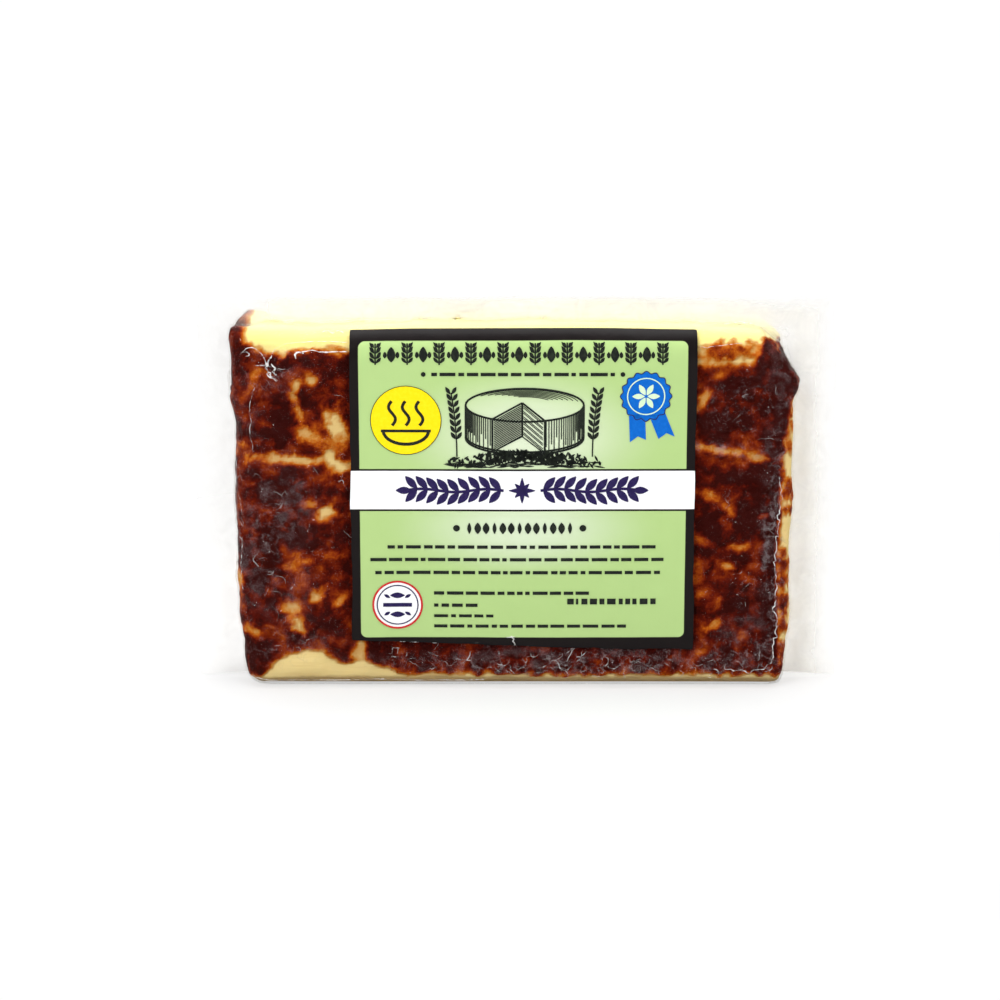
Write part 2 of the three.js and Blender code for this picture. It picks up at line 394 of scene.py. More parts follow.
@dataclass(frozen=True)
class SealedFilm(Finish):
    """Two films welded flat: clear, with soft ripples, and milky where the mesh's marks say."""

    name: str = "sealed_film"
    milk: Colour = tone(251, 248, 240)

    def paint(self, graph: Graph) -> None:
        """Builds the clear welded film."""
        ripples = graph.bump(graph.grain(9 * MM, 2.0, Distortion=0.5), 0.5 * MM)
        mottle = graph.grain(6 * MM, 3.0, Distortion=0.8).eased(0.3, 0.7)
        shine = (graph.slant(0.33, "Fresnel", Normal=ripples) - 0.05).reckon("MAXIMUM", 0.0)
        film = graph.either(shine * 0.9 + 0.01, graph.clear(WHITE), graph.gloss(0.14, ripples))
        milky = graph.marked("cloudy") * (mottle * 0.24 + 0.74)
        graph.finish(graph.either(milky, film, graph.body(self.milk, 0.6, 0.1)))


@dataclass(frozen=True)
class LabelPaper(Finish):
    """Glossy label paper printed in fields of colour, laid out in millimetres across and up the label."""

    name: str = "label_paper"
    panel_sides: Pair = (2.4, 83.6)
    upper_panel: Pair = (46.4, 78.7)
    white_band: Pair = (36.0, 45.9)
    lower_panel: Pair = (2.4, 35.5)
    past_top: float = 90.0
    past_foot: float = -9.0
    corner: float = 1.5
    softness: float = 0.09
    green: tuple[Colour, Colour] = (tone(177, 206, 134), tone(169, 199, 126))
    upper_glow: Colour = tone(219, 229, 203)
    lower_glow: Colour = tone(212, 226, 196)
    border: tuple[Colour, Colour] = (tone(14, 9, 10), tone(22, 15, 15))
    band: Colour = tone(252, 252, 254)

    def _inside(self, across: Wire, up: Wire, low: float, high: float) -> Wire:
        """Gives 1 inside a round-cornered panel between two heights, and 0 outside."""
        left, right = self.panel_sides
        half_length = (right - left) / 2 - self.corner
        half_height = (high - low) / 2 - self.corner
        aside = (abs(across - (left + right) / 2) - half_length).reckon("MAXIMUM", 0.0)
        above = (abs(up - (low + high) / 2) - half_height).reckon("MAXIMUM", 0.0)
        reach = (aside * aside + above * above).reckon("SQRT")
        return 1 - self._over(reach, self.corner)

    def _over(self, value: Wire, edge: float) -> Wire:
        """Gives 0 below an edge and 1 above it, with the edge a little soft."""
        return value.eased(edge - self.softness, edge + self.softness)

    def _between(self, up: Wire, low: float, high: float) -> Wire:
        """Gives 1 between two heights, and 0 outside."""
        return self._over(up, low) * (1 - self._over(up, high))

    @staticmethod
    def _glow(across: Wire, up: Wire, centre: Pair, size: Pair) -> Wire:
        """Gives a soft spot that fades out at an ellipse's rim."""
        aside = (across - centre[0]) / size[0]
        above = (up - centre[1]) / size[1]
        return 1 - (aside * aside + above * above).reckon("SQRT").eased(0.1, 1.0)

    def paint(self, graph: Graph) -> None:
        """Builds the border, the two green panels with pale middles, and the white band."""
        across = graph.marked("across")
        up = graph.marked("up")
        mottle = graph.grain(5 * MM, 3.0)
        pale = self._glow(across, up, (44.0, 55.0), (36.0, 19.0)) * 0.9
        pale_low = self._glow(across, up, (43.0, 31.0), (36.0, 14.0)) * 0.95
        green = graph.blend(mottle * 0.3, *self.green)
        upper = graph.blend(pale, green, self.upper_glow)
        lower = graph.blend(pale_low, green, self.lower_glow)
        in_upper = self._inside(across, up, self.white_band[0], self.upper_panel[1])
        in_upper *= self._between(up, self.upper_panel[0], self.past_top)
        in_lower = self._inside(across, up, self.lower_panel[0], self.white_band[1])
        in_lower *= self._between(up, self.past_foot, self.lower_panel[1])
        colour = graph.blend(in_upper, graph.blend(mottle, *self.border), upper)
        colour = graph.blend(in_lower, colour, lower)
        colour = graph.blend(self._between(up, *self.white_band), colour, self.band)
        swell = graph.bump(graph.grain(7 * MM, 2.0), 0.25 * MM)
        fibres = graph.bump(graph.grain(0.5 * MM, 3.0), 0.02 * MM, swell)
        graph.finish(graph.body(colour, mottle * 0.12 + 0.3, 0.14, Normal=fibres))


@dataclass(frozen=True)
class PrintInk(Finish):
    """Ink on the label, a little uneven."""

    colour: Colour = (0.02, 0.02, 0.02, 1.0)
    worn: Colour = (0.04, 0.04, 0.04, 1.0)

    def paint(self, graph: Graph) -> None:
        """Builds the ink with a faint mottle."""
        mottle = graph.grain(0.9 * MM, 3.0)
        colour = graph.blend(mottle.eased(0.35, 0.8), self.colour, self.worn)
        graph.finish(graph.body(colour, mottle * 0.15 + 0.32, 0.12, Normal=graph.bump(mottle, 0.01 * MM)))


@dataclass(frozen=True)
class PaleFloor(Finish):
    """A white floor that the camera sees bright and that throws only a little light back up."""

    name: str = "pale_floor"

    def paint(self, graph: Graph) -> None:
        """Builds the floor."""
        seen = graph.node("ShaderNodeLightPath", output="Is Camera Ray")
        across, depth = graph.axis(0), graph.axis(1)
        shade = graph.blend(depth.eased(-0.03, 0.1), (0.56, 0.56, 0.56, 1.0), (0.75, 0.75, 0.75, 1.0))
        away = (across * across + depth * depth).reckon("SQRT").eased(0.09, 0.2)
        near = graph.node("ShaderNodeBsdfDiffuse", {}, {"Color": (0.76, 0.76, 0.755, 1.0)})
        white = graph.node("ShaderNodeEmission", {}, {"Color": WHITE, "Strength": WHITE_GLOW})
        dim = graph.node("ShaderNodeBsdfDiffuse", {}, {"Color": shade})
        graph.finish(graph.either(seen, dim, graph.either(away * 0.4 + 0.6, near, white)))


# Handling meshes


def only(piece: Piece) -> None:
    """Selects one piece alone and makes it active."""
    bpy.ops.object.select_all(action="DESELECT")
    piece.select_set(True)
    bpy.context.view_layer.objects.active = piece


def named(name: str) -> Piece:
    """Names the piece that was just added, and settles its place into its mesh."""
    piece = bpy.context.object
    piece.name = name
    piece.data.name = name
    bpy.ops.object.transform_apply(location=True, rotation=True, scale=True)
    return piece


def box(name: str, size: Sequence[float], centre: Sequence[float]) -> Piece:
    """Adds a box of a size round a centre, both in millimetres."""
    bpy.ops.object.select_all(action="DESELECT")
    bpy.ops.mesh.primitive_cube_add(size=1, location=[value * MM for value in centre])
    bpy.context.object.scale = [value * MM for value in size]
    return named(name)


def sheet_of(name: str, across: int, up: int) -> Piece:
    """Adds a flat grid from -1 to 1 each way, with some cells across and up."""
    bpy.ops.object.select_all(action="DESELECT")
    bpy.ops.mesh.primitive_grid_add(x_subdivisions=across, y_subdivisions=up, size=2)
    return named(name)


def modify(piece: Piece, kind: str, **settings: Any) -> None:
    """Adds a modifier to a piece and applies it."""
    modifier = piece.modifiers.new(kind.lower(), kind)
    for name, value in settings.items():
        setattr(modifier, name, value)
    only(piece)
    bpy.ops.object.modifier_apply(modifier=modifier.name)


def swell(piece: Piece, height: float, group: str = "") -> None:
    """Moves a piece's faces outwards by some millimetres, as a vertex group weighs them if one is named."""
    modify(piece, "DISPLACE", strength=height * MM, mid_level=0.0, vertex_group=group)


def smooth(piece: Piece, factor: float, passes: int, group: str = "") -> None:
    """Smooths a piece's mesh, inside a vertex group if one is named."""
    modify(piece, "SMOOTH", factor=factor, iterations=passes, vertex_group=group)


def thicken(piece: Piece, thickness: float) -> None:
    """Gives a sheet a thickness in millimetres, half to each side."""
    modify(piece, "SOLIDIFY", thickness=thickness * MM, offset=0.0)


def lie_on(piece: Piece, under: Piece, gap: float) -> None:
    """Lays a sheet on another piece, with a gap in millimetres."""
    modify(piece, "SHRINKWRAP", target=under, wrap_mode="ABOVE_SURFACE", offset=gap * MM)


def copied(piece: Piece, name: str) -> Piece:
    """Copies a piece with a mesh of its own."""
    only(piece)
    bpy.ops.object.duplicate()
    return named(name)


def points_of(piece: Piece) -> Field:
    """Gives a mesh's points in millimetres, one a row."""
    places = np.empty(len(piece.data.vertices) * 3)
    piece.data.vertices.foreach_get("co", places)
    return places.reshape(-1, 3) / MM


def put_points(piece: Piece, points: Field) -> None:
    """Moves a mesh's points to places in millimetres."""
    piece.data.vertices.foreach_set("co", (points * MM).ravel())
    piece.data.update()


def mark(piece: Piece, name: str, values: Field) -> None:
    """Gives each point of a mesh a number that a finish can read."""
    attribute = piece.data.attributes.new(name, "FLOAT", "POINT")
    attribute.data.foreach_set("value", np.asarray(values, np.float32))


def weigh(piece: Piece, name: str, weights: Field) -> str:
    """Makes a vertex group with a weight for each point, and gives its name."""
    group = piece.vertex_groups.new(name=name)
    for index, weight in enumerate(weights.tolist()):
        if weight > 0:
            group.add([index], weight, "REPLACE")
    return name


def done(piece: Piece, finish: Finish, slot: Slot, *stands_for: str) -> None:
    """Dresses a finished piece, ties it to the part and reports it."""
    piece.data.materials.clear()
    piece.data.materials.append(finish.material())
    only(piece)
    bpy.ops.object.shade_smooth_by_angle(angle=math.radians(50))
    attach(piece, "root")
    if stands_for:
        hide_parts(*stands_for)
    log.info("%s: %d faces", piece.name, len(piece.data.polygons))


# Fields over the pack, in millimetres


def eased(values: Field, low: float, high: float) -> Field:
    """Rises smoothly from 0 at low to 1 at high."""
    share = np.clip((values - low) / (high - low), 0.0, 1.0)
    return share * share * (3 - 2 * share)


def uneven(points: Field, spacing: float, layer: int) -> Field:
    """Gives an uneven field from about -1 to 1 with lumps some millimetres apart."""
    places = points / spacing + 17.3 * layer
    return np.array([noise.noise(place) for place in places.tolist()]) * 1.5


# The numbers that scatter the middles of bulges.
STIRRING = ((127.1, 269.5, 419.2), (311.7, 183.3, 371.9), (74.7, 246.1, 124.6))


def bulges(points: Field, spacing: float, layer: int) -> Field:
    """Gives rounded bulges some millimetres apart, from 0 in their clefts to 1 on top."""
    places = points / spacing
    corners = np.floor(places)
    nearest = np.full(len(points), 9.0)
    for step in itertools.product((-1, 0, 1), repeat=3):
        corner = corners + step
        stirred = corner @ np.array(STIRRING) + layer
        centre = corner + np.modf(np.abs(np.sin(stirred) * 43758.5453))[0]
        nearest = np.minimum(nearest, np.linalg.norm(places - centre, axis=1))
    return 1 - np.clip(nearest, 0, 1) ** 2


def along(outline: Outline, places: Field) -> Field:
    """Gives an outline's heights at places along it."""
    knots, heights = zip(*outline)
    return np.interp(places, knots, heights)


@dataclass(frozen=True)
class Spot:
    """A turned oval spot on the front or the back."""

    across: float
    up: float
    half_length: float
    half_height: float
    turn: float = 0.0
    strength: float = 1.0

    def cover(self, points: Field, wobble: Field | float) -> Field:
        """Says how strongly the spot covers each point, from 0 to its strength."""
        turn = math.radians(self.turn)
        aside = points[:, 0] - self.across
        above = points[:, 2] - self.up
        length = (aside * math.cos(turn) + above * math.sin(turn)) / self.half_length
        height = (above * math.cos(turn) - aside * math.sin(turn)) / self.half_height
        return self.strength * (1 - eased(np.hypot(length, height) + wobble, 0.3, 1.95))


def covered(points: Field, spots: Sequence[Spot], wobble: Field | float = 0.0) -> Field:
    """Gives the strongest cover of some spots at each point."""
    return np.max([spot.cover(points, wobble) for spot in spots], axis=0)


def spots(*rows: tuple[float, ...]) -> tuple[Spot, ...]:
    """Makes spots of rows that hold a spot's numbers in their order."""
    return tuple(Spot(*row) for row in rows)


# Pale and orange spots that the oven left in the front's crust.
PALE_SPOTS = spots(
    (-51.4, 80.4, 1.7, 1.5, 0, 0.95), (-55.2, 77.6, 2.6, 1.1, 74, 0.95), (-54.3, 71.8, 4.2, 0.8, 104, 0.72),
    (-52.6, 67.2, 2.6, 1.3, -30, 0.8), (-45.7, 69.8, 3.6, 2.2, 104), (-44.0, 65.6, 3.4, 1.6, -35, 0.66),
    (-49.0, 64.6, 5.4, 2.8, -38, 0.64), (-50.0, 68.4, 2.4, 1.6, 30, 0.5), (-65.8, 79.0, 4.2, 0.7, 58, 0.34),
    (-57.6, 88.2, 2.6, 0.9, 70, 0.9), (-56.0, 60.0, 11.5, 1.1, -4, 0.95), (-46.2, 59.4, 3.2, 1.9, -25),
    (-48.0, 46.4, 2.9, 1.8, -12), (-51.6, 48.3, 2.7, 1.0, -10, 0.65), (-45.8, 35.2, 3.2, 1.0, 5, 0.5),
    (-53.5, 33.6, 2.0, 0.8, 10, 0.5), (-56.9, 32.1, 2.2, 1.2, -15, 0.6), (-50.2, 24.6, 2.0, 1.5, 50, 0.95),
    (-44.6, 22.7, 1.7, 1.1, 20, 0.75), (-55.6, 18.4, 3.4, 1.4, -68), (-58.2, 21.4, 1.6, 0.9, -30, 0.75),
    (-68.0, 15.4, 2.8, 1.3, -10, 0.8), (-62.5, 16.6, 1.5, 0.6, 0, 0.45), (-70.5, 27.0, 4.0, 1.1, 92, 0.8),
    (-69.2, 63.4, 1.4, 0.6, 0, 0.6), (45.9, 74.6, 3.3, 1.1, 56, 0.8), (51.5, 62.3, 9.0, 0.8, -7, 0.78),
    (60.0, 60.4, 3.0, 1.1, -6, 0.8), (48.7, 50.1, 2.6, 1.2, -42, 0.62), (52.8, 46.8, 2.0, 0.8, -42, 0.6),
    (62.0, 45.5, 1.8, 0.6, 30, 0.45), (56.0, 37.1, 2.0, 0.9, 8, 0.72), (53.0, 32.1, 1.7, 0.9, -15, 0.86),
    (45.6, 31.6, 2.6, 1.6, 90, 0.55), (57.4, 29.2, 2.2, 0.9, -30, 0.42), (49.8, 16.9, 2.3, 1.1, 28, 0.8),
    (46.0, 38.5, 2.2, 1.0, -25, 0.48), (57.8, 14.0, 1.6, 0.9, 0, 0.4), (-39.6, 9.8, 2.4, 1.5, 90, 0.9),
)

# Nearly black blisters of the front's crust.
DARK_SPOTS = spots(
    (-59.4, 69.0, 4.4, 2.4, 80), (-61.0, 53.0, 4.0, 2.0), (-58.0, 39.0, 5.0, 2.4),
    (-48.0, 51.6, 3.4, 1.2, 0, 0.7), (-52.4, 74.6, 2.2, 1.8, 0, 0.8), (-64.0, 28.0, 3.0, 2.6, 0, 0.7),
    (-66.0, 9.0, 3.4, 2.6, 0, 0.9), (-66.8, 5.6, 3.0, 2.2, 0, 0.9), (-58.8, 84.6, 2.6, 1.8, 30),
    (53.0, 78.8, 4.2, 1.6), (49.5, 69.6, 4.4, 1.8), (56.4, 55.3, 4.6, 1.7), (59.0, 51.0, 2.4, 1.8),
    (48.0, 43.5, 2.6, 2.6), (56.8, 43.6, 2.2, 2.8), (55.0, 22.4, 3.2, 1.8), (66.0, 83.0, 2.6, 3.4),
)

# Brown spots on the pale cheese near the front's edges.
BROWN_SPOTS = spots(
    (50.6, 87.4, 5.4, 2.0, 6, 0.62), (56.4, 87.6, 3.0, 1.2, -8, 0.5), (64.2, 90.4, 2.6, 1.5, -62, 0.85),
    (60.5, 87.6, 2.0, 1.6, 0, 0.45), (68.3, 51.7, 2.4, 1.5, 95, 0.72), (68.7, 46.5, 1.3, 1.1, 0, 0.72),
    (67.6, 31.2, 3.8, 1.6, 95, 0.85), (67.4, 22.7, 2.2, 1.5, 95, 0.75), (67.2, 17.2, 2.6, 1.3, 95, 0.7),
    (67.2, 9.2, 2.8, 1.5, 95, 0.75), (66.4, 4.6, 1.9, 1.4, 30, 0.85), (68.8, 68.0, 1.2, 0.8, 90, 0.6),
    (69.4, 72.0, 1.0, 0.7, 60, 0.6), (68.4, 62.6, 1.4, 0.8, 90, 0.55), (-44.6, 88.0, 2.4, 0.9, -10, 0.3),
)

# Where the film gets a painted greyish sheen, and where it is gathered into a net of fine creases whose lines
# are painted whitish as glints.
PAINTED_SHEEN_SPOTS = spots(
    (53.0, 62.4, 10.0, 1.0, -6, 2.6), (62.3, 37.0, 8.0, 0.8, 92, 2.4), (63.6, 36.0, 26.0, 2.0, 90, 0.8),
    (60.0, 12.0, 9.0, 6.0, 90, 0.75), (24.0, 7.2, 40.0, 3.2, 0, 1.0), (-61.0, 48.0, 9.0, 7.5, 60, 0.8),
    (-64.0, 32.0, 8.0, 6.0, 60, 0.9), (-57.0, 24.0, 8.0, 5.0, 90, 0.6), (-67.5, 68.0, 9.0, 3.0, 95, 0.6),
    (-58.5, 82.0, 4.0, 3.0, 60, 0.4), (-52.0, 12.0, 7.0, 3.0, 0, 0.45), (65.5, 80.0, 8.0, 3.0, 100, 0.6),
)
CREASE_GLINT_SPOTS = spots(
    (14.0, 7.0, 34.0, 2.8, 0, 1.0), (57.0, 7.5, 11.0, 4.0, 0, 0.9), (65.2, 30.0, 34.0, 1.9, 91, 1.0),
    (-60.5, 83.0, 5.0, 4.5, 0, 0.8), (-60.0, 45.0, 9.0, 6.0, 40, 0.55), (-58.0, 12.0, 7.0, 4.0, 0, 0.6),
    (56.0, 74.0, 10.0, 5.0, 0, 0.5),
)


@dataclass(frozen=True)
class SlabForm:
    """The slab's smooth wrapped form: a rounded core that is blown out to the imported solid."""

    core_size: Place = (128.0, 19.0, 85.0)
    core_centre: Place = (-0.8, 0.0, 46.7)
    core_round: float = 1.5
    cell: float = 0.8
    reaches: tuple[float, ...] = (9.0, 3.0, 1.5)
    root_half_width: float = 2.6
    root_lowest: float = 1.2
    root_passes: int = 90
    smoothing_passes: int = 5
    corner_cut: float = 2.2
    cut_move: Place = (-1.0, 0, -0.25)
    side_full: float = 0.6
    full_move: Place = (-1.0, 0, 0)
    tip_move: Place = (2.2, 0.0, 1.1)
    dent_place: Place = (-67.0, -2.5, 92.0)
    dent_reach: Pair = (3.0, 5.0)
    dent_passes: int = 40

    def build(self) -> Piece:
        """Builds the form, with the seal's root bridged over."""
        core = box("slab_form", self.core_size, self.core_centre)
        only(core)
        bpy.ops.object.mode_set(mode="EDIT")
        bpy.ops.mesh.select_all(action="SELECT")
        bpy.ops.mesh.bevel(offset=self.core_round * MM, segments=3, affect="EDGES")
        bpy.ops.object.mode_set(mode="OBJECT")
        for reach in self.reaches:
            self._blow_out(core, reach)
        smooth(core, 0.5, self.smoothing_passes)
        core.vertex_groups.clear()
        points = points_of(core)
        put_points(core, points + self._moves(points))
        dent = 1 - eased(np.linalg.norm(points - self.dent_place, axis=1), *self.dent_reach)
        smooth(core, 0.5, self.dent_passes, weigh(core, "dent", dent))
        core.vertex_groups.clear()
        return core

    def _moves(self, points: Field) -> Field:
        """Gives the moves that cut the top right corner, fill out the left side and raise the tip."""
        across, depth, up = points.T
        cut = self.corner_cut * eased(across, 50.0, 68.0) * eased(up, 76.0, 90.0)
        cut *= 1 - eased(depth, -9.0, 2.0) * eased(up, 85.0, 90.0)
        full = self.side_full * eased(-across, 58.0, 67.0) * (1 - eased(up, 62.0, 70.0))
        tip = eased(-across, 60.0, 68.0) * eased(up, 84.0, 92.0) * eased(depth, -6.0, 9.0)
        pairs = ((cut, self.cut_move), (full, self.full_move), (tip, self.tip_move))
        return sum(np.outer(share, move) for share, move in pairs)

    def _blow_out(self, core: Piece, reach: float) -> None:
        """Takes the core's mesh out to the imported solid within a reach, and bridges the seal's root."""
        modify(core, "REMESH", mode="VOXEL", voxel_size=self.cell * MM)
        points = points_of(core)
        beside = np.abs(points[:, 1] - SEAL_Y) < self.root_half_width
        root = weigh(core, "seal_root", (beside & (points[:, 2] > self.root_lowest)).astype(float))
        modify(
            core,
            "SHRINKWRAP",
            target=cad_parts["sealed_pouch"],
            wrap_method="PROJECT",
            use_positive_direction=True,
            use_negative_direction=reach < self.reaches[0],
            project_limit=reach * MM,
            vertex_group=root,
            invert_vertex_group=True,
        )
        smooth(core, 1.0, self.root_passes, root)


@dataclass(frozen=True)
class Cheese:
    """The slab of baked cheese inside the film: its crust, its cut sides and the relief of both."""

    cell: float = 0.65
    inset: float = 1.15
    relief: float = 1.7
    pale_relief: float = 0.36
    tight_relief: float = 0.44
    crag: float = 1.5
    crag_relief: float = 0.4
    crust_depth: float = 3.4
    mean_brown: float = 0.76
    groove: Outline = ((0, 66.4), (10, 65.0), (24, 64.1), (40, 63.9), (52, 64.5), (60, 65.8))
    rim_edge: float = -67.6
    front_low: Outline = (
        (-75, 2.2), (-66, 2.4), (-63.6, 3.8), (-61, 7.0), (-55, 9.7), (-49, 9.7), (-46, 7.2), (-43, 6.4),
        (-40, 7.0), (-37, 6.2), (-32, 4.6), (-28, 3.2), (-10, 3.6), (8, 3.0), (40, 3.4), (58, 3.0),
        (63, 3.4), (75, 2.6),
    )
    front_high: Outline = (
        (-75, 99), (-70.5, 99), (-68.6, 91.0), (-66.5, 89.2), (-61, 87.2), (-52, 88.2), (-42, 87.4),
        (0, 86.5), (44, 84.4), (50, 84.6), (57, 84.4), (59.6, 85.8), (61.4, 90.0), (62.8, 94.0), (75, 94.0),
    )
    front_right: Outline = (
        (0, 65.2), (8, 65.6), (25, 65.4), (45, 66.2), (58, 66.8), (64, 67.4), (74, 69.0), (79, 72.5),
        (99, 73),
    )
    back_low: Outline = (
        (-75, 2.5), (-60, 4.5), (-35, 2.6), (-5, 5.2), (20, 3.0), (48, 6.0), (60, 3.2), (75, 2.5),
    )
    back_high: Outline = ((-75, 92), (-69, 88), (-60, 86.5), (-30, 87.5), (0, 86.2), (30, 87.4), (66, 85.0))
    back_right: Outline = ((0, 65.6), (22, 66.6), (45, 65.2), (70, 67.2), (93, 64.0))
    back_spots: int = 44
    back_lines: tuple[Spot, ...] = spots((-20.0, 61.0, 22.0, 1.1, -2, 0.9), (38.0, 59.4, 15.0, 1.0, 3, 0.85))

    def _spots_on_back(self) -> list[Spot]:
        """Draws the back's pale spots, in a spread of their own."""
        chance = np.random.default_rng(21)
        least, most = (-66, 8, 1.2, 0.9, 0, 0.4), (62, 86, 4.2, 2.0, 180, 1.0)
        drawn = [Spot(*chance.uniform(least, most).tolist()) for _ in range(self.back_spots)]
        return [*drawn, *self.back_lines]

    def browned(self, points: Field) -> Field:
        """Says how far the oven browned each point.

        Args:
            points: Places on the slab, one a row.

        Returns:
            Numbers from 0, pale, to about 1, nearly black.
        """
        across, depth, up = points.T
        on_front = depth < 0
        frayed = 0.75 * uneven(points, 2.8, 1) + 0.4 * uneven(points, 1.2, 2)
        wobble = 0.58 * uneven(points, 2.4, 3) + 0.32 * uneven(points, 1.0, 4)
        deep = self.mean_brown + 0.16 * uneven(points, 9.0, 5) + 0.22 * uneven(points, 3.2, 6)
        deep += 0.6 * (self.blistered(points) - 0.55)
        ridge = eased(across, 59.0, 63.0) * (1 - eased(across, 66.4, 68.4)) * (1 - eased(up, 84.0, 90.0))
        deep += (0.38 * covered(points, DARK_SPOTS, wobble) + 0.22 * ridge) * on_front
        brown = eased(self._inside_crust(points, frayed), -0.9, 2.1) * deep
        # The cleft is painted near black as shade, over the crust's own brown.
        brown = np.maximum(brown, 1.05 * on_front * self.grooved(points))
        dots = covered(points, BROWN_SPOTS, wobble) * (1 - eased(depth + 1.8 * frayed, -8.5, -4.5))
        brown = np.maximum(brown, dots * deep)
        pale_back = covered(points, self._spots_on_back(), wobble)
        pale = np.where(on_front, covered(points, PALE_SPOTS, wobble), pale_back)
        return brown * (1 - 0.95 * pale)

    def _inside_crust(self, points: Field, frayed: Field) -> Field:
        """Says how far each point lies inside the crust's frayed edges, in millimetres."""
        across, depth, up = points.T
        on_front = depth < 0
        low = np.where(on_front, along(self.front_low, across), along(self.back_low, across))
        high = np.where(on_front, along(self.front_high, across), along(self.back_high, across))
        right = np.where(on_front, along(self.front_right, up), along(self.back_right, up))
        corner = eased(across, 60.0, 67.0) * eased(up, 70.0, 78.0) * on_front
        corner *= 3.2 + 5.0 * eased(across, 63.5, 66.5) * (1 - eased(up, 89.5, 92.5))
        corner *= 1 + 0.4 * frayed
        shell = self.crust_depth + 0.6 * frayed + corner - np.minimum(depth - FRONT_Y, BACK_Y - depth)
        inside = np.minimum.reduce([up - low, high - up, right - across, shell])
        left = self.rim_edge - across + 0.9 * eased(depth, -4.0, 8.0)
        rim = np.minimum(left, up - 1.0 + np.abs(depth) * 0.1)
        on_top = eased(up, 84.0, 90.0)
        return np.maximum(inside + frayed, rim * (1.7 - 0.8 * on_top) + frayed * (1 - 0.6 * on_top))

    def blistered(self, points: Field) -> Field:
        """Gives the crust's blisters, from 0 in their clefts to 1 on top."""
        warped = points + 0.7 * np.stack([uneven(points, 2.6, layer) for layer in (21, 22, 23)], axis=1)
        return 0.62 * bulges(warped, 4.2, 3) + 0.38 * bulges(warped, 1.9, 7)

    def grooved(self, points: Field) -> Field:
        """Gives the cleft down the front's right side, from 0 to 1 in its middle; it is sunk in the relief,
        and its near black is painted shade over the crust's own brown.
        """
        across, _, up = points.T
        off = np.abs(across - along(self.groove, up) - 0.35 * uneven(points, 4.0, 25))
        return (1 - eased(off, 0.5, 1.9)) * (1 - eased(up, 52.0, 62.0)) * eased(up, 3.0, 6.0)

    def raised(self, points: Field, browned: Field) -> Field:
        """Says how far the cheese stands up at each point, from 0 to 1."""
        across, depth, up = points.T
        crust = eased(browned, 0.12, 0.6) * Label.clear_of(points)
        bumpy = self.blistered(points) * (1 - 0.9 * self.grooved(points) * (depth < 0))
        tight = 0.85 * np.maximum(eased(-across, 65.5, 69.0), eased(across, 65.8, 68.4))
        tight = tight * (1 - eased(up, 74.0, 80.0) * (across > 0))
        bumpy = bumpy * (1 - tight) + self.tight_relief * tight
        return crust * bumpy + (1 - crust) * self.pale_relief

    def build(self, form: Piece) -> Piece:
        """Builds the cheese from the slab's form."""
        cheese = copied(form, "cheese_slab")
        modify(cheese, "REMESH", mode="VOXEL", voxel_size=self.cell * MM)
        points = points_of(cheese)
        browned = self.browned(points)
        raised = weigh(cheese, "raised", self.raised(points, browned))
        crust = weigh(cheese, "crust", eased(browned, 0.15, 0.7) * Label.clear_of(points))
        crags = bpy.data.textures.new("crags", "CLOUDS")
        crags.noise_scale = self.crag * MM
        swell(cheese, -self.inset)
        swell(cheese, self.relief, raised)
        depth = self.crag_relief * MM
        modify(cheese, "DISPLACE", texture=crags, strength=depth, mid_level=0.5, vertex_group=crust)
        cheese.vertex_groups.clear()
        mark(cheese, "browned", browned)
        done(cheese, BakedCheese(), Slot.CHEESE, "sealed_pouch")
        return cheese


@dataclass(frozen=True)
class Crease:
    """A fold of the film, through points on the pack, thinnest at its ends."""

    points: tuple[Place, ...]
    width: float = 0.3
    wiggle: float = 0.12


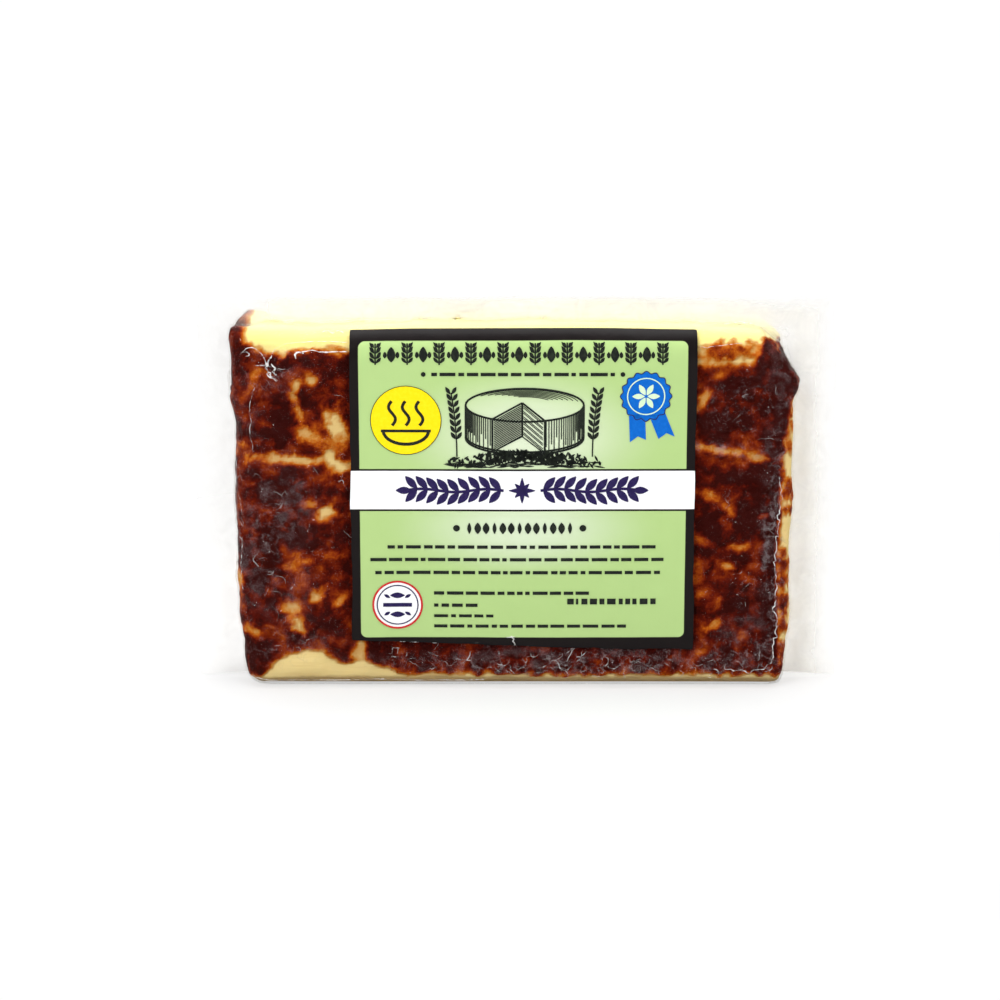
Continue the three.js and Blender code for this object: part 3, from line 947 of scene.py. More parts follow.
# The sharpest folds, painted brightest as highlights.
CREASES = (
    Crease((
        (-68.5, -12, 86.8), (-67.2, -12.3, 88.4), (-65.4, -12.4, 88.6), (-63.5, -12.3, 87.2),
        (-62.5, -12.4, 85.7), (-62.3, -12.3, 83.1), (-61.1, -12.5, 81.6), (-59.4, -12.9, 80.4)
    ), 0.26),
    Crease((
        (-68.3, -12, 87.2), (-67.0, -12.2, 87.6), (-66.0, -12.2, 86.9), (-67.4, -12.2, 86.4)
    ), 0.34, 0.3),
    Crease((
        (-60.8, -12.4, 86.9), (-60, -12.1, 88.1), (-57.6, -11.4, 89.2), (-54.1, -10.8, 89.6),
        (-48.1, -11.8, 90.0), (-42, -11.4, 89.7)
    ), 0.2),
    Crease((
        (-60.8, -12.4, 86.7), (-61.4, -12.4, 84.9), (-62.6, -12.4, 84.1), (-62, -12.4, 82.6),
        (-60.8, -12.5, 82.4), (-61.2, -12.5, 81.1), (-59.6, -12.8, 80.4)
    ), 0.62, 0.5),
    Crease((
        (-62.6, -12.5, 83.6), (-61.8, -12.5, 82.4), (-62.4, -12.5, 81.8), (-61.0, -12.6, 80.6)
    ), 0.5, 0.5),
    Crease((
        (-60.6, -12.5, 84.6), (-59.8, -12.5, 83.4), (-60.4, -12.5, 82.8), (-59.0, -12.6, 81.9)
    ), 0.5, 0.5),
    Crease((
        (-55.1, -13, 85.8), (-54.6, -12.6, 87.0), (-53.6, -12.2, 87.6), (-52.9, -12.3, 86.6)
    ), 0.55, 0.4),
    Crease((
        (-54.3, -12.3, 87.2), (-52.9, -12.1, 87.5), (-48.1, -12.6, 87.5), (-42, -12.3, 87.5)
    ), 0.36, 0.1),
    Crease((
        (-48.2, -9.5, 91.9), (-47, -9, 92.1), (-45.7, -9.9, 91.6), (-44.3, -8.9, 92.1), (-43, -9.5, 91.6)
    ), 0.4, 0.5),
    Crease(((44.6, -12.1, 88.8), (47.4, -12.4, 88.5), (51.3, -12.4, 89.2), (55.8, -11.8, 89.6)), 0.2),
    Crease(((45.7, -6, 93.1), (50.8, -4.3, 92.6), (55.4, -2.8, 93), (59.3, -3, 92.5)), 0.18),
    Crease((
        (65.6, -12.1, 54.9), (66.2, -12, 50.8), (65.6, -12.6, 45.7), (65.2, -13.1, 40.6),
        (64.6, -12.9, 33.4), (65.4, -12.9, 27.4), (65.0, -12.9, 21.4), (65.6, -12.9, 15.4),
        (64.4, -12.9, 12.4)
    ), 0.24, 0.6),
    Crease((
        (65.2, -12.9, 17.5), (65.4, -12.8, 14.3), (64.5, -12.4, 10), (64.8, -12.8, 7.4), (62.8, -12.7, 5.7),
        (57.3, -12, 4.6), (52.6, -12.9, 5.4)
    ), 0.3, 0.5),
)

# Softer folds, whose painted highlight is as dim as the fine wrinkles'.
SOFT_CREASES = (
    Crease((
        (-65.2, -12, 78.4), (-66.7, -12.1, 73.4), (-66.3, -12.5, 69.4), (-65.9, -12.2, 62.6)
    ), 0.2, 0.25),
    Crease(((-69.9, -10, 60.0), (-70.4, -10, 50.0), (-69.9, -10, 40.0), (-70.0, -10, 33.0)), 0.26, 0.2),
    Crease(((-68.4, -11, 39.0), (-69.3, -11, 33.0), (-68.6, -11, 26.0)), 0.24, 0.2),
    Crease((
        (-67.2, -11.5, 3.4), (-64.6, -12.2, 2.0), (-58, -12.4, 1.6), (-48, -12.4, 1.5), (-36, -12.4, 1.9),
        (-24, -12.4, 1.6), (-8, -12.4, 2.0)
    ), 0.3, 0.1),
)

# The crinkled lower edge of the label, painted bright as glints.
GLINTS = (
    Crease(((-29.8, -13.6, 12.7), (-29.0, -13.6, 12.1), (-28.2, -13.6, 12.5)), 0.3, 0.3),
    Crease(((-27.0, -13.6, 12.3), (-26.0, -13.6, 12.1), (-25.0, -13.6, 12.3)), 0.24, 0.2),
    Crease(((-21.4, -13.6, 12.0), (-20.3, -13.6, 12.2)), 0.2),
    Crease(((-10.6, -13.6, 12.2), (-9.8, -13.6, 12.4)), 0.18),
    Crease((
        (-3.4, -13.6, 14.0), (-2.4, -13.6, 13.6), (-1.4, -13.6, 14.2), (-0.6, -13.6, 13.4),
        (-1.3, -13.6, 12.6), (-0.4, -13.6, 12.0), (-1.1, -13.6, 11.2)
    ), 0.4, 0.4),
    Crease(((-1.6, -13.6, 14.4), (-0.9, -13.6, 13.8), (0.2, -13.6, 13.9)), 0.3, 0.3),
)


@dataclass(frozen=True)
class Wrinkles:
    """A patch of short fine folds of the film, drawn by chance round a spot."""

    spot: Spot
    count: int
    lean: float
    width: float = 0.24
    step: float = 0.62
    bend: float = 34.0
    heights: Pair = (2.6, 91.0)

    def drawn(self, chance: np.random.Generator) -> list[Crease]:
        """Draws the patch's folds."""
        creases = []
        turn = math.radians(self.spot.turn)
        for _ in range(self.count):
            length, height = chance.normal(0, 0.55, 2) * (self.spot.half_length, self.spot.half_height)
            across = self.spot.across + length * math.cos(turn) - height * math.sin(turn)
            up = self.spot.up + length * math.sin(turn) + height * math.cos(turn)
            place = np.array([across, up])
            heading = math.radians(self.lean + chance.normal(0, self.bend))
            points = []
            for _ in range(int(chance.integers(3, 9))):
                points.append((float(place[0]), FRONT_Y, float(np.clip(place[1], *self.heights))))
                heading += math.radians(chance.normal(0, self.bend))
                place = place + self.step * np.array([math.cos(heading), math.sin(heading)])
            creases.append(Crease(tuple(points), self.width * chance.uniform(0.45, 1.3), 0.1))
        return creases


WRINKLES = (
    Wrinkles(Spot(14.0, 6.4, 32.0, 2.0), 74, 0, 0.2),
    Wrinkles(Spot(56.0, 6.0, 9.0, 2.4), 12, 10, 0.2),
    Wrinkles(Spot(-28.0, 7.4, 9.0, 2.0), 8, 20, 0.16),
    Wrinkles(Spot(64.8, 31.0, 28.0, 1.0, 91), 9, 90, 0.15),
    Wrinkles(Spot(-69.6, 44.0, 22.0, 0.3, 90), 9, 90, 0.13),
    Wrinkles(Spot(-61.5, 46.0, 10.0, 6.0, 60), 12, 40, 0.11),
    Wrinkles(Spot(-62.0, 30.0, 12.0, 5.0, 80), 10, 40, 0.11),
    Wrinkles(Spot(-59.0, 12.0, 7.0, 4.0), 6, 0, 0.13),
    Wrinkles(Spot(-60.8, 82.6, 1.2, 1.6), 3, 70, 0.34),
    Wrinkles(Spot(-46.0, 50.0, 3.5, 30.0), 7, 30, 0.12),
    Wrinkles(Spot(56.0, 72.0, 8.0, 7.0), 9, 40, 0.14),
    Wrinkles(Spot(55.0, 40.0, 7.0, 26.0), 8, 20, 0.12),
)


@dataclass(frozen=True)
class Pouch:
    """The clear film: its skin over the slab, the welded seal round it, and its folds."""

    bead_step: float = 0.5
    bead_taper: float = 0.8
    thinnest_bead: float = 0.04
    skin_inset: float = 0.36
    skin_relief: float = 1.15
    seal_left: Outline = ((0, -81.2), (50, -81.0), (100, -79.8))
    seal_right: Outline = ((0, 81.2), (50, 80.7), (100, 79.2))
    seal_heights: Pair = (0.6, 99.6)
    root_left: float = -68.0
    root_right: float = 66.5
    root_heights: Pair = (1.5, 90.6)
    seal_cells: tuple[int, int] = (220, 22)
    hidden_share: float = 0.4
    seal_thickness: float = 0.16
    wave: float = 0.9
    weld_depth: float = 0.25
    milk_least: float = 0.05
    milk_left: float = 0.1
    milk_right: float = 0.42
    milk_top: float = 0.74

    def build(self, form: Piece, cheese: Cheese) -> None:
        """Builds the film's three pieces from the slab's form."""
        skin = self._skin(form, cheese)
        self._seal()
        self._folds(skin)

    def _skin(self, form: Piece, cheese: Cheese) -> Piece:
        """Builds the film that clings to the slab."""
        skin = copied(form, "clear_film")
        modify(skin, "REMESH", mode="VOXEL", voxel_size=SlabForm.cell * MM)
        points = points_of(skin)
        browned = cheese.browned(points)
        rough = eased(browned, 0.15, 0.7) * Label.clear_of(points)
        raised = weigh(skin, "raised", cheese.raised(points, browned))
        swell(skin, -self.skin_inset)
        swell(skin, self.skin_relief, raised)
        skin.vertex_groups.clear()
        on_front = points[:, 1] < 0
        wobble = 0.3 * uneven(points, 3.0, 8)
        back = np.maximum(0, uneven(points, 14.0, 9)) * 0.8
        # Marks for the painted greyish sheen and for the crease lines painted as glints.
        mark(skin, "painted_sheen", np.where(on_front, covered(points, PAINTED_SHEEN_SPOTS, wobble), back))
        mark(skin, "crease_glints", np.where(on_front, covered(points, CREASE_GLINT_SPOTS, wobble), 0.7 * back))
        mark(skin, "clinging", 0.25 + 0.75 * rough)
        done(skin, ClearFilm(), Slot.FILM)
        return skin

    def _seal(self) -> None:
        """Builds the thin welded flange up the left side, over the top and down the right side."""
        seal = sheet_of("film_seal", *self.seal_cells)
        points = points_of(seal) * MM
        way = (points[:, 0] + 1) * 1.5
        out = (points[:, 1] + 1) / 2 * (1 + self.hidden_share) - self.hidden_share
        placed = self._placed(way, out)
        flat = placed * (1, 0, 1)
        placed[:, 1] += out * (self.wave * uneven(flat, 17.0, 12) + 0.3 * uneven(flat, 6.0, 13))
        welded = eased(out, 0.45, 0.5) * (1 - eased(out, 0.82, 0.87))
        placed[:, 1] += self.weld_depth * welded * 0.3 * np.sin(np.hypot(flat[:, 0], flat[:, 2]) * 4.0)
        placed[:, 0] += 0.35 * out * uneven(flat, 12.0, 14)
        put_points(seal, placed)
        mark(seal, "cloudy", self._milk(way, out))
        thicken(seal, self.seal_thickness)
        done(seal, SealedFilm(), Slot.FILM)

    def _placed(self, way: Field, out: Field) -> Field:
        """Lays the flange flat.

        Args:
            way: How far round it a point is: 0 to 1 up the left, to 2 over the top, to 3 down the right.
            out: How far from its root, 0, to its outer edge, 1.

        Returns:
            Places in millimetres, one a row.
        """
        rise = np.clip(np.minimum(way, 3 - way), 0, 1)
        across = np.clip(way - 1, 0, 1)
        low, high = self.seal_heights
        root_low, root_high = self.root_heights
        edge_up = low + (high - low) * rise
        edge_across = along(self.seal_left, edge_up) * (1 - across) + along(self.seal_right, edge_up) * across
        root_up = root_low + (root_high - root_low) * rise
        root_across = self.root_left * (1 - across) + self.root_right * across
        rows = [
            root_across + (edge_across - root_across) * out,
            np.full_like(out, SEAL_Y),
            root_up + (edge_up - root_up) * out,
        ]
        return np.stack(rows, axis=1)

    def _milk(self, way: Field, out: Field) -> Field:
        """Says how milky the flange is at each point, from 0 to 1."""
        over_top = eased(way, 1.05, 1.14) * (1 - eased(way, 1.6, 2.1))
        milky = self.milk_left + (self.milk_right - self.milk_left) * eased(way, 1.4, 2.1)
        milky = milky * (1 - over_top) + self.milk_top * over_top
        along_top = eased(out, 0.2, 0.46) * (1 - eased(out, 0.8, 1.0))
        beside = (0.55 + 0.45 * eased(out, 0.0, 0.4)) * (1 - eased(out, 0.4, 1.0))
        spread = over_top * along_top + (1 - over_top) * beside
        return self.milk_least + milky * spread

    def _folds(self, skin: Piece) -> None:
        """Builds the film's sharpest folds, and its softer folds and wrinkles, as fine beads that rest on the
        skin and are painted near white as highlights.
        """
        chance = np.random.default_rng(5)
        wrinkles = itertools.chain.from_iterable(patch.drawn(chance) for patch in WRINKLES)
        self._beads("film_folds", skin, CREASES, FoldedFilm("fold_painted_bright_highlight", 0.85))
        self._beads("film_wrinkles", skin, itertools.chain(SOFT_CREASES, wrinkles), FoldedFilm())

    def glints(self, sheet: Piece) -> None:
        """Builds the small creases along the label's lower edge, painted bright as glints."""
        self._beads("label_glints", sheet, GLINTS, FoldedFilm("label_edge_painted_glint", 0.85))

    def _beads(self, name: str, skin: Piece, creases: Iterable[Crease], finish: Finish) -> None:
        """Builds some folds as one piece of thin beads."""
        line = bpy.data.curves.new(name, "CURVE")
        line.dimensions = "3D"
        line.bevel_depth = MM / 2
        line.bevel_resolution = 1
        line.use_fill_caps = True
        for crease in creases:
            self._bead(line, skin, crease)
        folds = bpy.data.objects.new(name, line)
        bpy.context.collection.objects.link(folds)
        only(folds)
        bpy.ops.object.convert(target="MESH")
        done(named(name), finish, Slot.FILM)

    def _bead(self, line: bpy.types.Curve, skin: Piece, crease: Crease) -> None:
        """Adds one fold to a curve as a bead along its crease, with wiggles and an uneven width."""
        knots = np.array(crease.points)
        lengths = np.concatenate([[0], np.cumsum(np.linalg.norm(np.diff(knots, axis=0), axis=1))])
        steps = np.linspace(0, lengths[-1], max(3, round(lengths[-1] / self.bead_step)))
        path = np.stack([np.interp(steps, lengths, knots[:, axis]) for axis in range(3)], axis=1)
        path[:, 0] += crease.wiggle * uneven(path, 1.3, 31)
        path[:, 2] += crease.wiggle * uneven(path, 1.3, 32)
        ends = np.clip(np.minimum(steps, lengths[-1] - steps) / self.bead_taper, 0.25, 1)
        widths = crease.width * ends * (0.75 + 0.55 * uneven(path, 1.1, 33))
        widths = np.maximum(widths, self.thinnest_bead)
        strand = line.splines.new("POLY")
        strand.points.add(len(path) - 1)
        for point, place, width in zip(strand.points, path.tolist(), widths.tolist()):
            _, spot, normal, _ = skin.closest_point_on_mesh([value * MM for value in place])
            point.co = (*(spot + normal * 0.02 * MM), 1.0)
            point.radius = width


# The label and its print

SIDES = (-1, 1)
FULL_TURN = (0.0, 2 * math.pi)
LOWER_HALF = (math.pi, 2 * math.pi)
SCALLOP = 0.05

# The rows of small print: each one's left and right ends, height, thickness, seed and longest dash.
SMALL_PRINT = (
    (9.2, 76.2, 26.2, 0.85, 30, 4.4),
    (4.9, 78.8, 22.9, 0.85, 31, 4.4),
    (6.1, 77.4, 19.5, 0.85, 32, 4.4),
    (20.7, 59.6, 14.1, 0.85, 33, 4.4),
    (20.7, 31.6, 10.9, 0.85, 34, 4.4),
    (20.7, 36.6, 8.1, 0.75, 41, 3.6),
    (20.7, 69.0, 5.4, 0.8, 42, 4.0),
    (54.2, 77.6, 11.9, 1.5, 43, 2.2),
)


def arc(
    middle: Pair, half_length: float, half_height: float, ends: Pair, count: int
) -> list[Pair]:
    """Gives points along an oval's rim, between two angles."""
    turns = np.linspace(*ends, count)
    return [(middle[0] + half_length * math.cos(t), middle[1] + half_height * math.sin(t)) for t in turns]


@dataclass
class Print:
    """One ink of the label: flat shapes in millimetres across and up the label, laid on its sheet."""

    name: str
    ink: Finish
    lift: float
    shapes: list[Piece] = field(default_factory=list)

    def shape(self, cells: tuple[int, int], outline: Shape) -> None:
        """Adds a shape.

        Args:
            cells: How many cells it has each way.
            outline: Gives the places across and up the label for places from -1 to 1 in the shape.
        """
        piece = sheet_of("shape", *cells)
        first, second, _ = (points_of(piece) * MM).T
        across, up = outline(first, second)
        put_points(piece, np.stack([across, up, np.zeros_like(across)], axis=1))
        self.shapes.append(piece)

    def bar(self, left: float, right: float, up: float, height: float) -> None:
        """Adds an upright-ended bar, centred on a height."""
        half = (right - left) / 2
        cells = (max(1, math.ceil(half / 1.3)), max(1, round(height / 1.6)))
        self.shape(cells, lambda a, b: (left + half * (a + 1), up + b * height / 2))

    def leaf(self, across: float, up: float, length: float, width: float, turn: float) -> None:
        """Adds a pointed leaf that is turned by some degrees about its middle."""
        cos, sin = math.cos(math.radians(turn)), math.sin(math.radians(turn))

        def outline(a: Field, b: Field) -> tuple[Field, Field]:
            run = a * length / 2
            side = b * width / 2 * np.cos(a * 1.46)
            return across + run * cos - side * sin, up + run * sin + side * cos

        self.shape((6, 1), outline)

    def disc(self, middle: Pair, radius: float, scallops: int = 0, cells: int = 14) -> None:
        """Adds a disc, with scallops round its rim if they are asked for."""

        def outline(a: Field, b: Field) -> tuple[Field, Field]:
            aside = a * np.sqrt(1 - b * b / 2)
            above = b * np.sqrt(1 - a * a / 2)
            rim = radius
            if scallops:
                wave = np.hypot(aside, above) ** 3 * np.cos(scallops * np.arctan2(above, aside))
                rim = radius * (1 + SCALLOP * wave)
            return middle[0] + aside * rim, middle[1] + above * rim

        self.shape((cells, cells), outline)

    def stroke(self, points: Outline, width: float, closed: bool = False) -> None:
        """Adds a line of a width through points."""
        path = np.array(points, float)
        if closed:
            path = np.vstack([path, path[:1]])
        ahead = np.gradient(path, axis=0)
        if closed:
            ahead[0] = ahead[-1] = path[1] - path[-2]
        ahead /= np.linalg.norm(ahead, axis=1, keepdims=True)
        aside = np.stack([-ahead[:, 1], ahead[:, 0]], axis=1) * width / 2

        def outline(a: Field, b: Field) -> tuple[Field, Field]:
            index = np.rint((a + 1) / 2 * (len(path) - 1)).astype(int)
            return tuple((path[index] + aside[index] * b[:, None]).T)

        self.shape((len(path) - 1, 1), outline)

    def ring(self, middle: Pair, radius: float, width: float, flat: float = 1.0) -> None:
        """Adds a ring, or an oval one that is flatter than it is wide."""
        self.stroke(arc(middle, radius, radius * flat, FULL_TURN, 41)[:-1], width, True)

    def row(self, left: float, right: float, up: float, height: float, seed: int, longest: float) -> None:
        """Adds a row of dashes of uneven lengths, as small print looks from afar."""
        chance = np.random.default_rng(seed)
        at = left
        while at < right - 0.8:
            end = min(right, at + chance.uniform(0.24 * longest, longest))
            self.bar(at, end, up, height)
            at = end + chance.uniform(0.55, 0.85)

    def lay(self, label: "Label", sheet: Piece) -> None:
        """Joins the shapes and lays them on the label's sheet as one thin piece."""
        bpy.ops.object.select_all(action="DESELECT")
        for shape in self.shapes:
            shape.select_set(True)
        bpy.context.view_layer.objects.active = self.shapes[0]
        bpy.ops.object.join()
        ink = named(self.name)
        only(ink)
        bpy.ops.object.mode_set(mode="EDIT")
        bpy.ops.mesh.select_all(action="SELECT")
        bpy.ops.mesh.remove_doubles(threshold=0.01 * MM)
        bpy.ops.object.mode_set(mode="OBJECT")
        across, up, _ = points_of(ink).T
        put_points(ink, label.wrapped(across, up, label.start))
        lie_on(ink, sheet, self.lift)
        thicken(ink, 0.03)
        done(ink, self.ink, Slot.PRINT)


INK_BLACK = PrintInk("dark_ink", tone(26, 30, 27), tone(42, 48, 38))
INK_NAVY = PrintInk("navy_ink", tone(36, 26, 74), tone(50, 40, 88))
INK_YELLOW = PrintInk("yellow_ink", tone(255, 222, 10), tone(255, 228, 30))
INK_BLUE = PrintInk("blue_ink", tone(2, 97, 194), tone(10, 110, 206))
INK_PALE = PrintInk("pale_ink", tone(206, 236, 196), tone(222, 240, 206))
INK_RED = PrintInk("red_ink", tone(196, 40, 44), tone(206, 60, 58))
INK_WHITE = PrintInk("white_ink", tone(246, 246, 248), tone(250, 250, 250))


@dataclass(frozen=True)
class Label:
    """The printed label, bent over the top of the front."""

    left: float = -41.6
    bottom: float = 11.4
    width: float = 86.0
    height: float = 82.2
    bend_radius: float = 7.0
    bend_starts: float = 75.1
    skew: float = 2.4
    drop: float = 0.9
    flare: float = 0.2
    start: float = 3.0
    thickness: float = 0.14
    lift: float = 0.4
    lowest_ink: float = 0.1
    middle_ink: float = 0.13
    top_ink: float = 0.16
    disc: Pair = (14.0, 58.9)
    rosette: Pair = (73.4, 65.0)
    rosette_radius: float = 6.1
    scallops: int = 16
    stamp: Pair = (11.6, 11.0)
    garland: Pair = (42.8, 40.9)
    wheel: Pair = (43.4, 62.8)
    wheel_foot: float = 54.4
    wheel_radius: float = 14.6
    wheel_flat: float = 0.29
    wedge: Pair = (-8.0, 5.0)

    @staticmethod
    def clear_of(points: Field) -> Field:
        """Gives 0 under the label and 1 well outside it."""
        across, depth, up = points.T
        outside = np.maximum.reduce([-42.6 - across, across - 45.4, 10.4 - up, depth + 2.0])
        return eased(outside, 0.0, 2.5)

    def wrapped(self, across: Field, up: Field, off: float) -> Field:
        """Gives places on the pack for places on the flat label, stood off by a distance."""
        turn = np.maximum(up - self.bend_starts, 0) / self.bend_radius
        reach = self.bend_radius + off
        depth = FRONT_Y + self.bend_radius - reach * np.cos(turn)
        rise = self.bottom + np.minimum(up, self.bend_starts) + reach * np.sin(turn)
        wider = self.flare * (across / self.width * 2 - 1) * (0.5 + up / self.height)
        return np.stack([self.left + across + wider, depth, rise], axis=1)

    def build(self, skin: Piece) -> Piece:
        """Builds the sheet on the film's skin, and its print."""
        sheet = self._sheet(skin)
        rows = (self._heading(), self._title(), self._rows())
        badges = (*self._disc(), *self._rosette(), *self._stamp())
        for ink in (*rows, *badges, self._emblem()):
            ink.lay(self, sheet)
        return sheet

    def _sheet(self, skin: Piece) -> Piece:
        """Builds the label's paper."""
        sheet = sheet_of("label_sheet", 86, 80)
        first, second, _ = (points_of(sheet) * MM).T
        across = (first + 1) / 2 * self.width
        low = self.skew * (1 - across / self.width) ** 1.5 - self.drop
        up = low + (self.height - low) * (second + 1) / 2
        mark(sheet, "across", across)
        mark(sheet, "up", up)
        put_points(sheet, self.wrapped(across, up, self.start))
        lie_on(sheet, skin, self.lift)
        smooth(sheet, 0.5, 2)
        thicken(sheet, self.thickness)
        done(sheet, LabelPaper(), Slot.PAPER, "label")
        return sheet

    def _heading(self) -> Print:
        """Draws the frieze of grain and lozenges at the top, and the row below it."""
        frieze = Print("print_frieze", INK_BLACK, self.lowest_ink)
        height, row_height = 75.5, 70.6
        for number, across in enumerate(np.linspace(6.6, 77.4, 19)):
            if number % 2:
                frieze.leaf(across, height, 3.6, 2.1, 90)
                for side in SIDES:
                    frieze.leaf(across + side * 1.55, height, 1.5, 0.95, 90)
            else:
                frieze.bar(across - 0.2, across + 0.2, height, 5.0)
                for step, side in itertools.product((-1.3, -0.1, 1.1, 2.2), SIDES):
                    frieze.leaf(across + side * 0.82, height + step, 1.9, 0.86, 90 - side * 38)
        frieze.row(20.4, 65.6, row_height, 0.85, 3, 4.6)
        for across in (18.4, 67.6):
            frieze.disc((across, row_height), 0.6, cells=4)
        return frieze

    def _title(self) -> Print:
        """Draws the garland in the white band."""
        garland = Print("print_garland", INK_NAVY, self.lowest_ink)
        middle, height = self.garland
        for side in SIDES:
            stem = [
                (middle + side * (4.6 + 23.4 * share), height + 0.4 * math.sin(9 * share))
                for share in np.linspace(0, 1, 28)
            ]
            garland.stroke(stem, 0.7)
            for (across, up), rise in itertools.product(stem[1::3], SIDES):
                turn = 90 - side * rise * 42 if rise > 0 else 90 + side * 42
                garland.leaf(across + side * 1.3, up + rise * 1.7, 4.3, 1.9, turn)
            garland.leaf(middle + side * 29.4, height, 4.0, 1.9, 0)
        for turn in range(0, 180, 45):
            garland.leaf(middle, height, 6.6 if turn % 90 == 0 else 5.0, 1.5, turn + 90)
        return garland

    def _rows(self) -> Print:
        """Draws the rows of small print."""
        rows = Print("print_rows", INK_BLACK, self.lowest_ink)
        height = 31.1
        for number in range(13):
            rows.leaf(29.6 + number * 2.1, height, 2.9, 1.7 if number % 3 else 1.0, 90)
        for across in (26.4, 58.0):
            rows.disc((across, height), 0.85, cells=5)
        for row in SMALL_PRINT:
            rows.row(*row)
        return rows

    def _disc(self) -> list[Print]:
        """Draws the yellow disc and its steaming bowl."""
        yellow = Print("print_disc", INK_YELLOW, self.lowest_ink)
        yellow.disc(self.disc, 8.8)
        marks = Print("print_disc_marks", INK_BLACK, self.top_ink)
        marks.ring(self.disc, 8.75, 0.16)
        middle, bowl = self.disc[0], 56.2
        for across in (-3.4, 0.0, 3.4):
            shares = np.linspace(0, 1, 14)
            wave = [(middle + across + 0.85 * math.sin(6.2 * share), 57.6 + 6.2 * share) for share in shares]
            marks.stroke(wave, 0.75)
        marks.stroke(arc((middle, bowl), 5.6, 3.4, LOWER_HALF, 16), 0.8)
        marks.bar(middle - 6.2, middle + 6.2, bowl, 0.7)
        return [yellow, marks]

    def _rosette(self) -> list[Print]:
        """Draws the blue rosette with its ribbons, its dark rim and its flower."""
        blue = Print("print_rosette", INK_BLUE, self.lowest_ink)
        middle, height = self.rosette
        blue.disc(self.rosette, self.rosette_radius, scallops=self.scallops, cells=18)
        for side, foot, lean in ((-1, 53.6, 0.3), (1, 54.4, 2.4)):
            blue.shape(
                (4, 5),
                lambda a, b, side=side, foot=foot, lean=lean: (
                    73.7 + side * 2.5 + lean * (1 - b) / 2 + a * 2.0,
                    foot + (60.4 - foot) * (b + 1) / 2 + 1.2 * (1 - np.abs(a)) * (1 - b) / 2 + 0.3 * a,
                ),
            )
        shine = Print("print_rosette_marks", INK_PALE, self.top_ink)
        shine.ring(self.rosette, 4.6, 0.28)
        for turn in range(0, 360, 60):
            aside, above = math.cos(math.radians(turn)), math.sin(math.radians(turn))
            shine.leaf(middle + 1.9 * aside, height + 1.9 * above, 3.0, 1.4, turn)
        outline = Print("print_rosette_rim", INK_NAVY, self.middle_ink)
        edge = []
        for turn in np.linspace(*FULL_TURN, 129)[:-1]:
            reach = self.rosette_radius * (1 + SCALLOP * math.cos(self.scallops * turn))
            edge.append((middle + reach * math.cos(turn), height + reach * math.sin(turn)))
        outline.stroke(edge, 0.22, True)
        return [blue, outline, shine]

    def _stamp(self) -> list[Print]:
        """Draws the small round stamp, its red rim and its leaves."""
        stamp = Print("print_stamp", INK_WHITE, self.lowest_ink)
        middle, height = self.stamp
        stamp.disc(self.stamp, 6.0)
        rim = Print("print_stamp_rim", INK_RED, self.middle_ink)
        rim.ring(self.stamp, 6.1, 0.5)
        leaves = Print("print_stamp_marks", INK_NAVY, self.top_ink)
        leaves.ring(self.stamp, 5.1, 0.3)
        leaves.bar(8.0, 15.2, height, 1.0)
        for side in SIDES:
            leaves.leaf(middle, height + side * 2.5, 3.6, 1.5, 0)
            leaves.leaf(middle + side * 2.6, height + side * 2.3, 1.7, 0.8, 30)
            leaves.leaf(middle - side * 2.6, height + side * 2.3, 1.7, 0.8, -30)
        return [stamp, rim, leaves]

    def _emblem(self) -> Print:
        """Draws a cut wheel of cheese on grass, in the lines of an old engraving."""
        lines = Print("print_emblem", INK_BLACK, self.lowest_ink)
        chance = np.random.default_rng(77)
        self._draw_wheel(lines, chance)
        self._draw_wedge(lines)
        self._draw_grass(lines, chance)
        return lines

    def _draw_wheel(self, lines: Print, chance: np.random.Generator) -> None:
        """Draws the wheel's rim, foot and sides, and the lines that shade them."""
        middle, top = self.wheel
        foot, half = self.wheel_foot, self.wheel_radius
        lines.ring(self.wheel, half, 0.5, self.wheel_flat)
        for low in (foot, foot + 0.6):
            lines.stroke(arc((middle, low), half, half * self.wheel_flat, LOWER_HALF, 28), 0.5)
        for side in SIDES:
            lines.stroke([(middle + side * half, top), (middle + side * half, foot)], 0.5)
        for number, turn in enumerate(np.linspace(0.05, math.pi - 0.05, 62)):
            aside = -half * math.cos(turn)
            front = -half * self.wheel_flat * math.sin(turn)
            if self.wedge[0] < aside < self.wedge[1]:
                continue
            shaded = 1.0 if number % 2 else chance.uniform(0.5, 0.9)
            foot_up = top + front - (top - foot) * shaded
            lines.stroke([(middle + aside, top + front), (middle + aside, foot_up)], 0.26)
        for step in range(7):
            reach = half * (0.93 - 0.07 * step)
            ends = (0.25 + 0.07 * step, 2.5 - 0.12 * step)
            lines.stroke(arc(self.wheel, reach, reach * self.wheel_flat, ends, 16), 0.2)

    def _draw_wedge(self, lines: Print) -> None:
        """Draws the wedge that is cut from the wheel, with its shaded faces."""
        middle, top = self.wheel
        foot, half = self.wheel_foot, self.wheel_radius
        peak = (middle - 0.6, top + 0.6)
        heel = (peak[0], foot + 0.4)
        for aside in self.wedge:
            front = -self.wheel_flat * math.sqrt(half * half - aside * aside)
            lines.stroke([peak, (middle + aside, top + front)], 0.46)
            lines.stroke([(middle + aside, top + front), (middle + aside, foot + front)], 0.5)
            lines.stroke([heel, (middle + aside, foot + front)], 0.3)
        lines.stroke([peak, heel], 0.5)
        for step in range(18):
            drop = 0.8 + step * 0.45
            lines.stroke([(peak[0] - 0.3, peak[1] - drop), (peak[0] - 7.0, peak[1] - 3.8 - drop)], 0.24)
            if step % 3 != 2:
                lines.stroke([(peak[0] + 0.3, peak[1] - drop), (peak[0] + 5.1, peak[1] - 4.2 - drop)], 0.2)

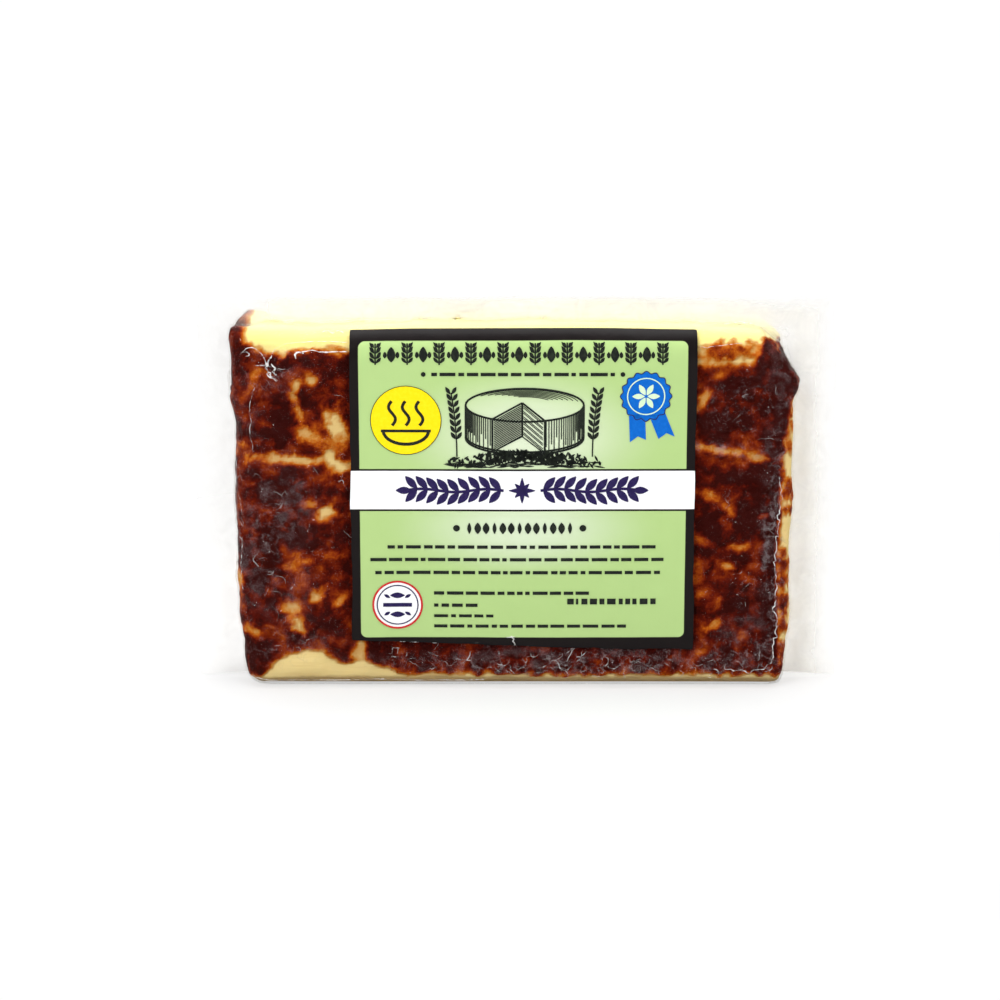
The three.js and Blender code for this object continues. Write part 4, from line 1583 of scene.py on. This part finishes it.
    def _draw_grass(self, lines: Print, chance: np.random.Generator) -> None:
        """Draws the grass under the wheel and an ear of grain at each side of it."""
        middle = self.wheel[0]
        for _ in range(330):
            across = chance.normal(middle, 9.0)
            up = 48.3 + 1.9 * math.exp(-(((across - middle) / 13) ** 2)) + chance.uniform(-1.6, 0.9)
            if 24.5 < across < 62.5:
                length, width = chance.uniform(0.9, 2.1), chance.uniform(0.4, 0.8)
                lines.leaf(across, up, length, width, chance.uniform(30, 150))
        for _ in range(70):
            across, up = chance.uniform(25, 62), chance.uniform(46.9, 48.2)
            lines.leaf(across, up, chance.uniform(1.6, 4.0), 0.42, chance.uniform(-12, 12))
        shares = np.linspace(0, 1, 11)
        for side in SIDES:
            stem = [(middle + side * (16.8 + 1.4 * share * share), 49.6 + 16.4 * share) for share in shares]
            lines.stroke(stem, 0.34)
            for (across, up), lean in itertools.product(stem[3:], SIDES):
                lines.leaf(across + lean * 0.78, up + 0.5, 2.1, 0.96, 90 - lean * 32)


@dataclass(frozen=True)
class Studio:
    """The white floor, the soft lights and the camera."""

    camera_place: Place = (-0.004325, -0.887455, 0.283983)
    camera_tilt: float = 75.0
    lens: float = 130.32
    floor_size: float = 3.0
    front_glow: float = 0.12
    back_glow: float = 1.1
    lamp_aim: Place = (0, 0, 0.05)
    lamps: tuple[tuple[str, Place, float, float], ...] = (
        ("light_top", (0.0, 0.05, 0.95), 0.9, 9.0),
        ("light_left", (-0.75, -0.95, 0.75), 0.6, 11.4),
        ("light_right", (0.85, -0.95, 0.7), 0.6, 7.6),
    )

    def build(self) -> None:
        """Builds the studio round the pack."""
        bpy.ops.object.select_all(action="DESELECT")
        bpy.ops.mesh.primitive_grid_add(x_subdivisions=8, y_subdivisions=8, size=self.floor_size)
        floor = named("floor")
        floor.data.materials.append(PaleFloor().material())
        for name, place, size, power in self.lamps:
            bpy.ops.object.light_add(type="AREA", location=place)
            lamp = bpy.context.object
            lamp.name = name
            lamp.data.size = size
            lamp.data.energy = power
            aside, deep, high = np.array(place) - self.lamp_aim
            tilt = math.acos(high / math.hypot(aside, deep, high))
            lamp.rotation_euler = (tilt, 0, math.atan2(deep, aside) + math.pi / 2)
        bpy.ops.object.camera_add(location=self.camera_place, rotation=(math.radians(self.camera_tilt), 0, 0))
        camera = bpy.context.object
        camera.data.lens = self.lens
        camera.data.sensor_width = 36.0
        bpy.context.scene.camera = camera
        self._surroundings()
        bpy.context.scene.view_settings.view_transform = "Standard"

    def _surroundings(self) -> None:
        """Makes the world white to the camera and dimmer as a light."""
        world = bpy.data.worlds.new("studio")
        world.use_nodes = True
        bpy.context.scene.world = world
        graph = Graph(world.node_tree)
        seen = graph.node("ShaderNodeLightPath", output="Is Camera Ray")
        heading = graph.node("ShaderNodeTexCoord", output="Generated")
        behind = graph.node("ShaderNodeSeparateXYZ", {}, {0: heading}, 1).eased(-0.1, 0.3)
        strength = behind * (self.back_glow - self.front_glow) + self.front_glow
        dim, white = (
            graph.node("ShaderNodeBackground", {}, {"Color": WHITE, "Strength": glow})
            for glow in (strength, WHITE_GLOW)
        )
        graph.finish(graph.either(seen, dim, white), "ShaderNodeOutputWorld")


def main() -> None:
    """Builds the studio and the pack, piece by piece."""
    logging.basicConfig(level=logging.INFO, format="%(message)s")
    bpy.ops.object.select_all(action="DESELECT")
    Studio().build()
    form = SlabForm().build()
    cheese = Cheese()
    cheese.build(form)
    pouch = Pouch()
    pouch.build(form, cheese)
    pouch.glints(Label().build(bpy.data.objects["clear_film"]))
    bpy.data.objects.remove(form)


if __name__ == "__main__":
    main()
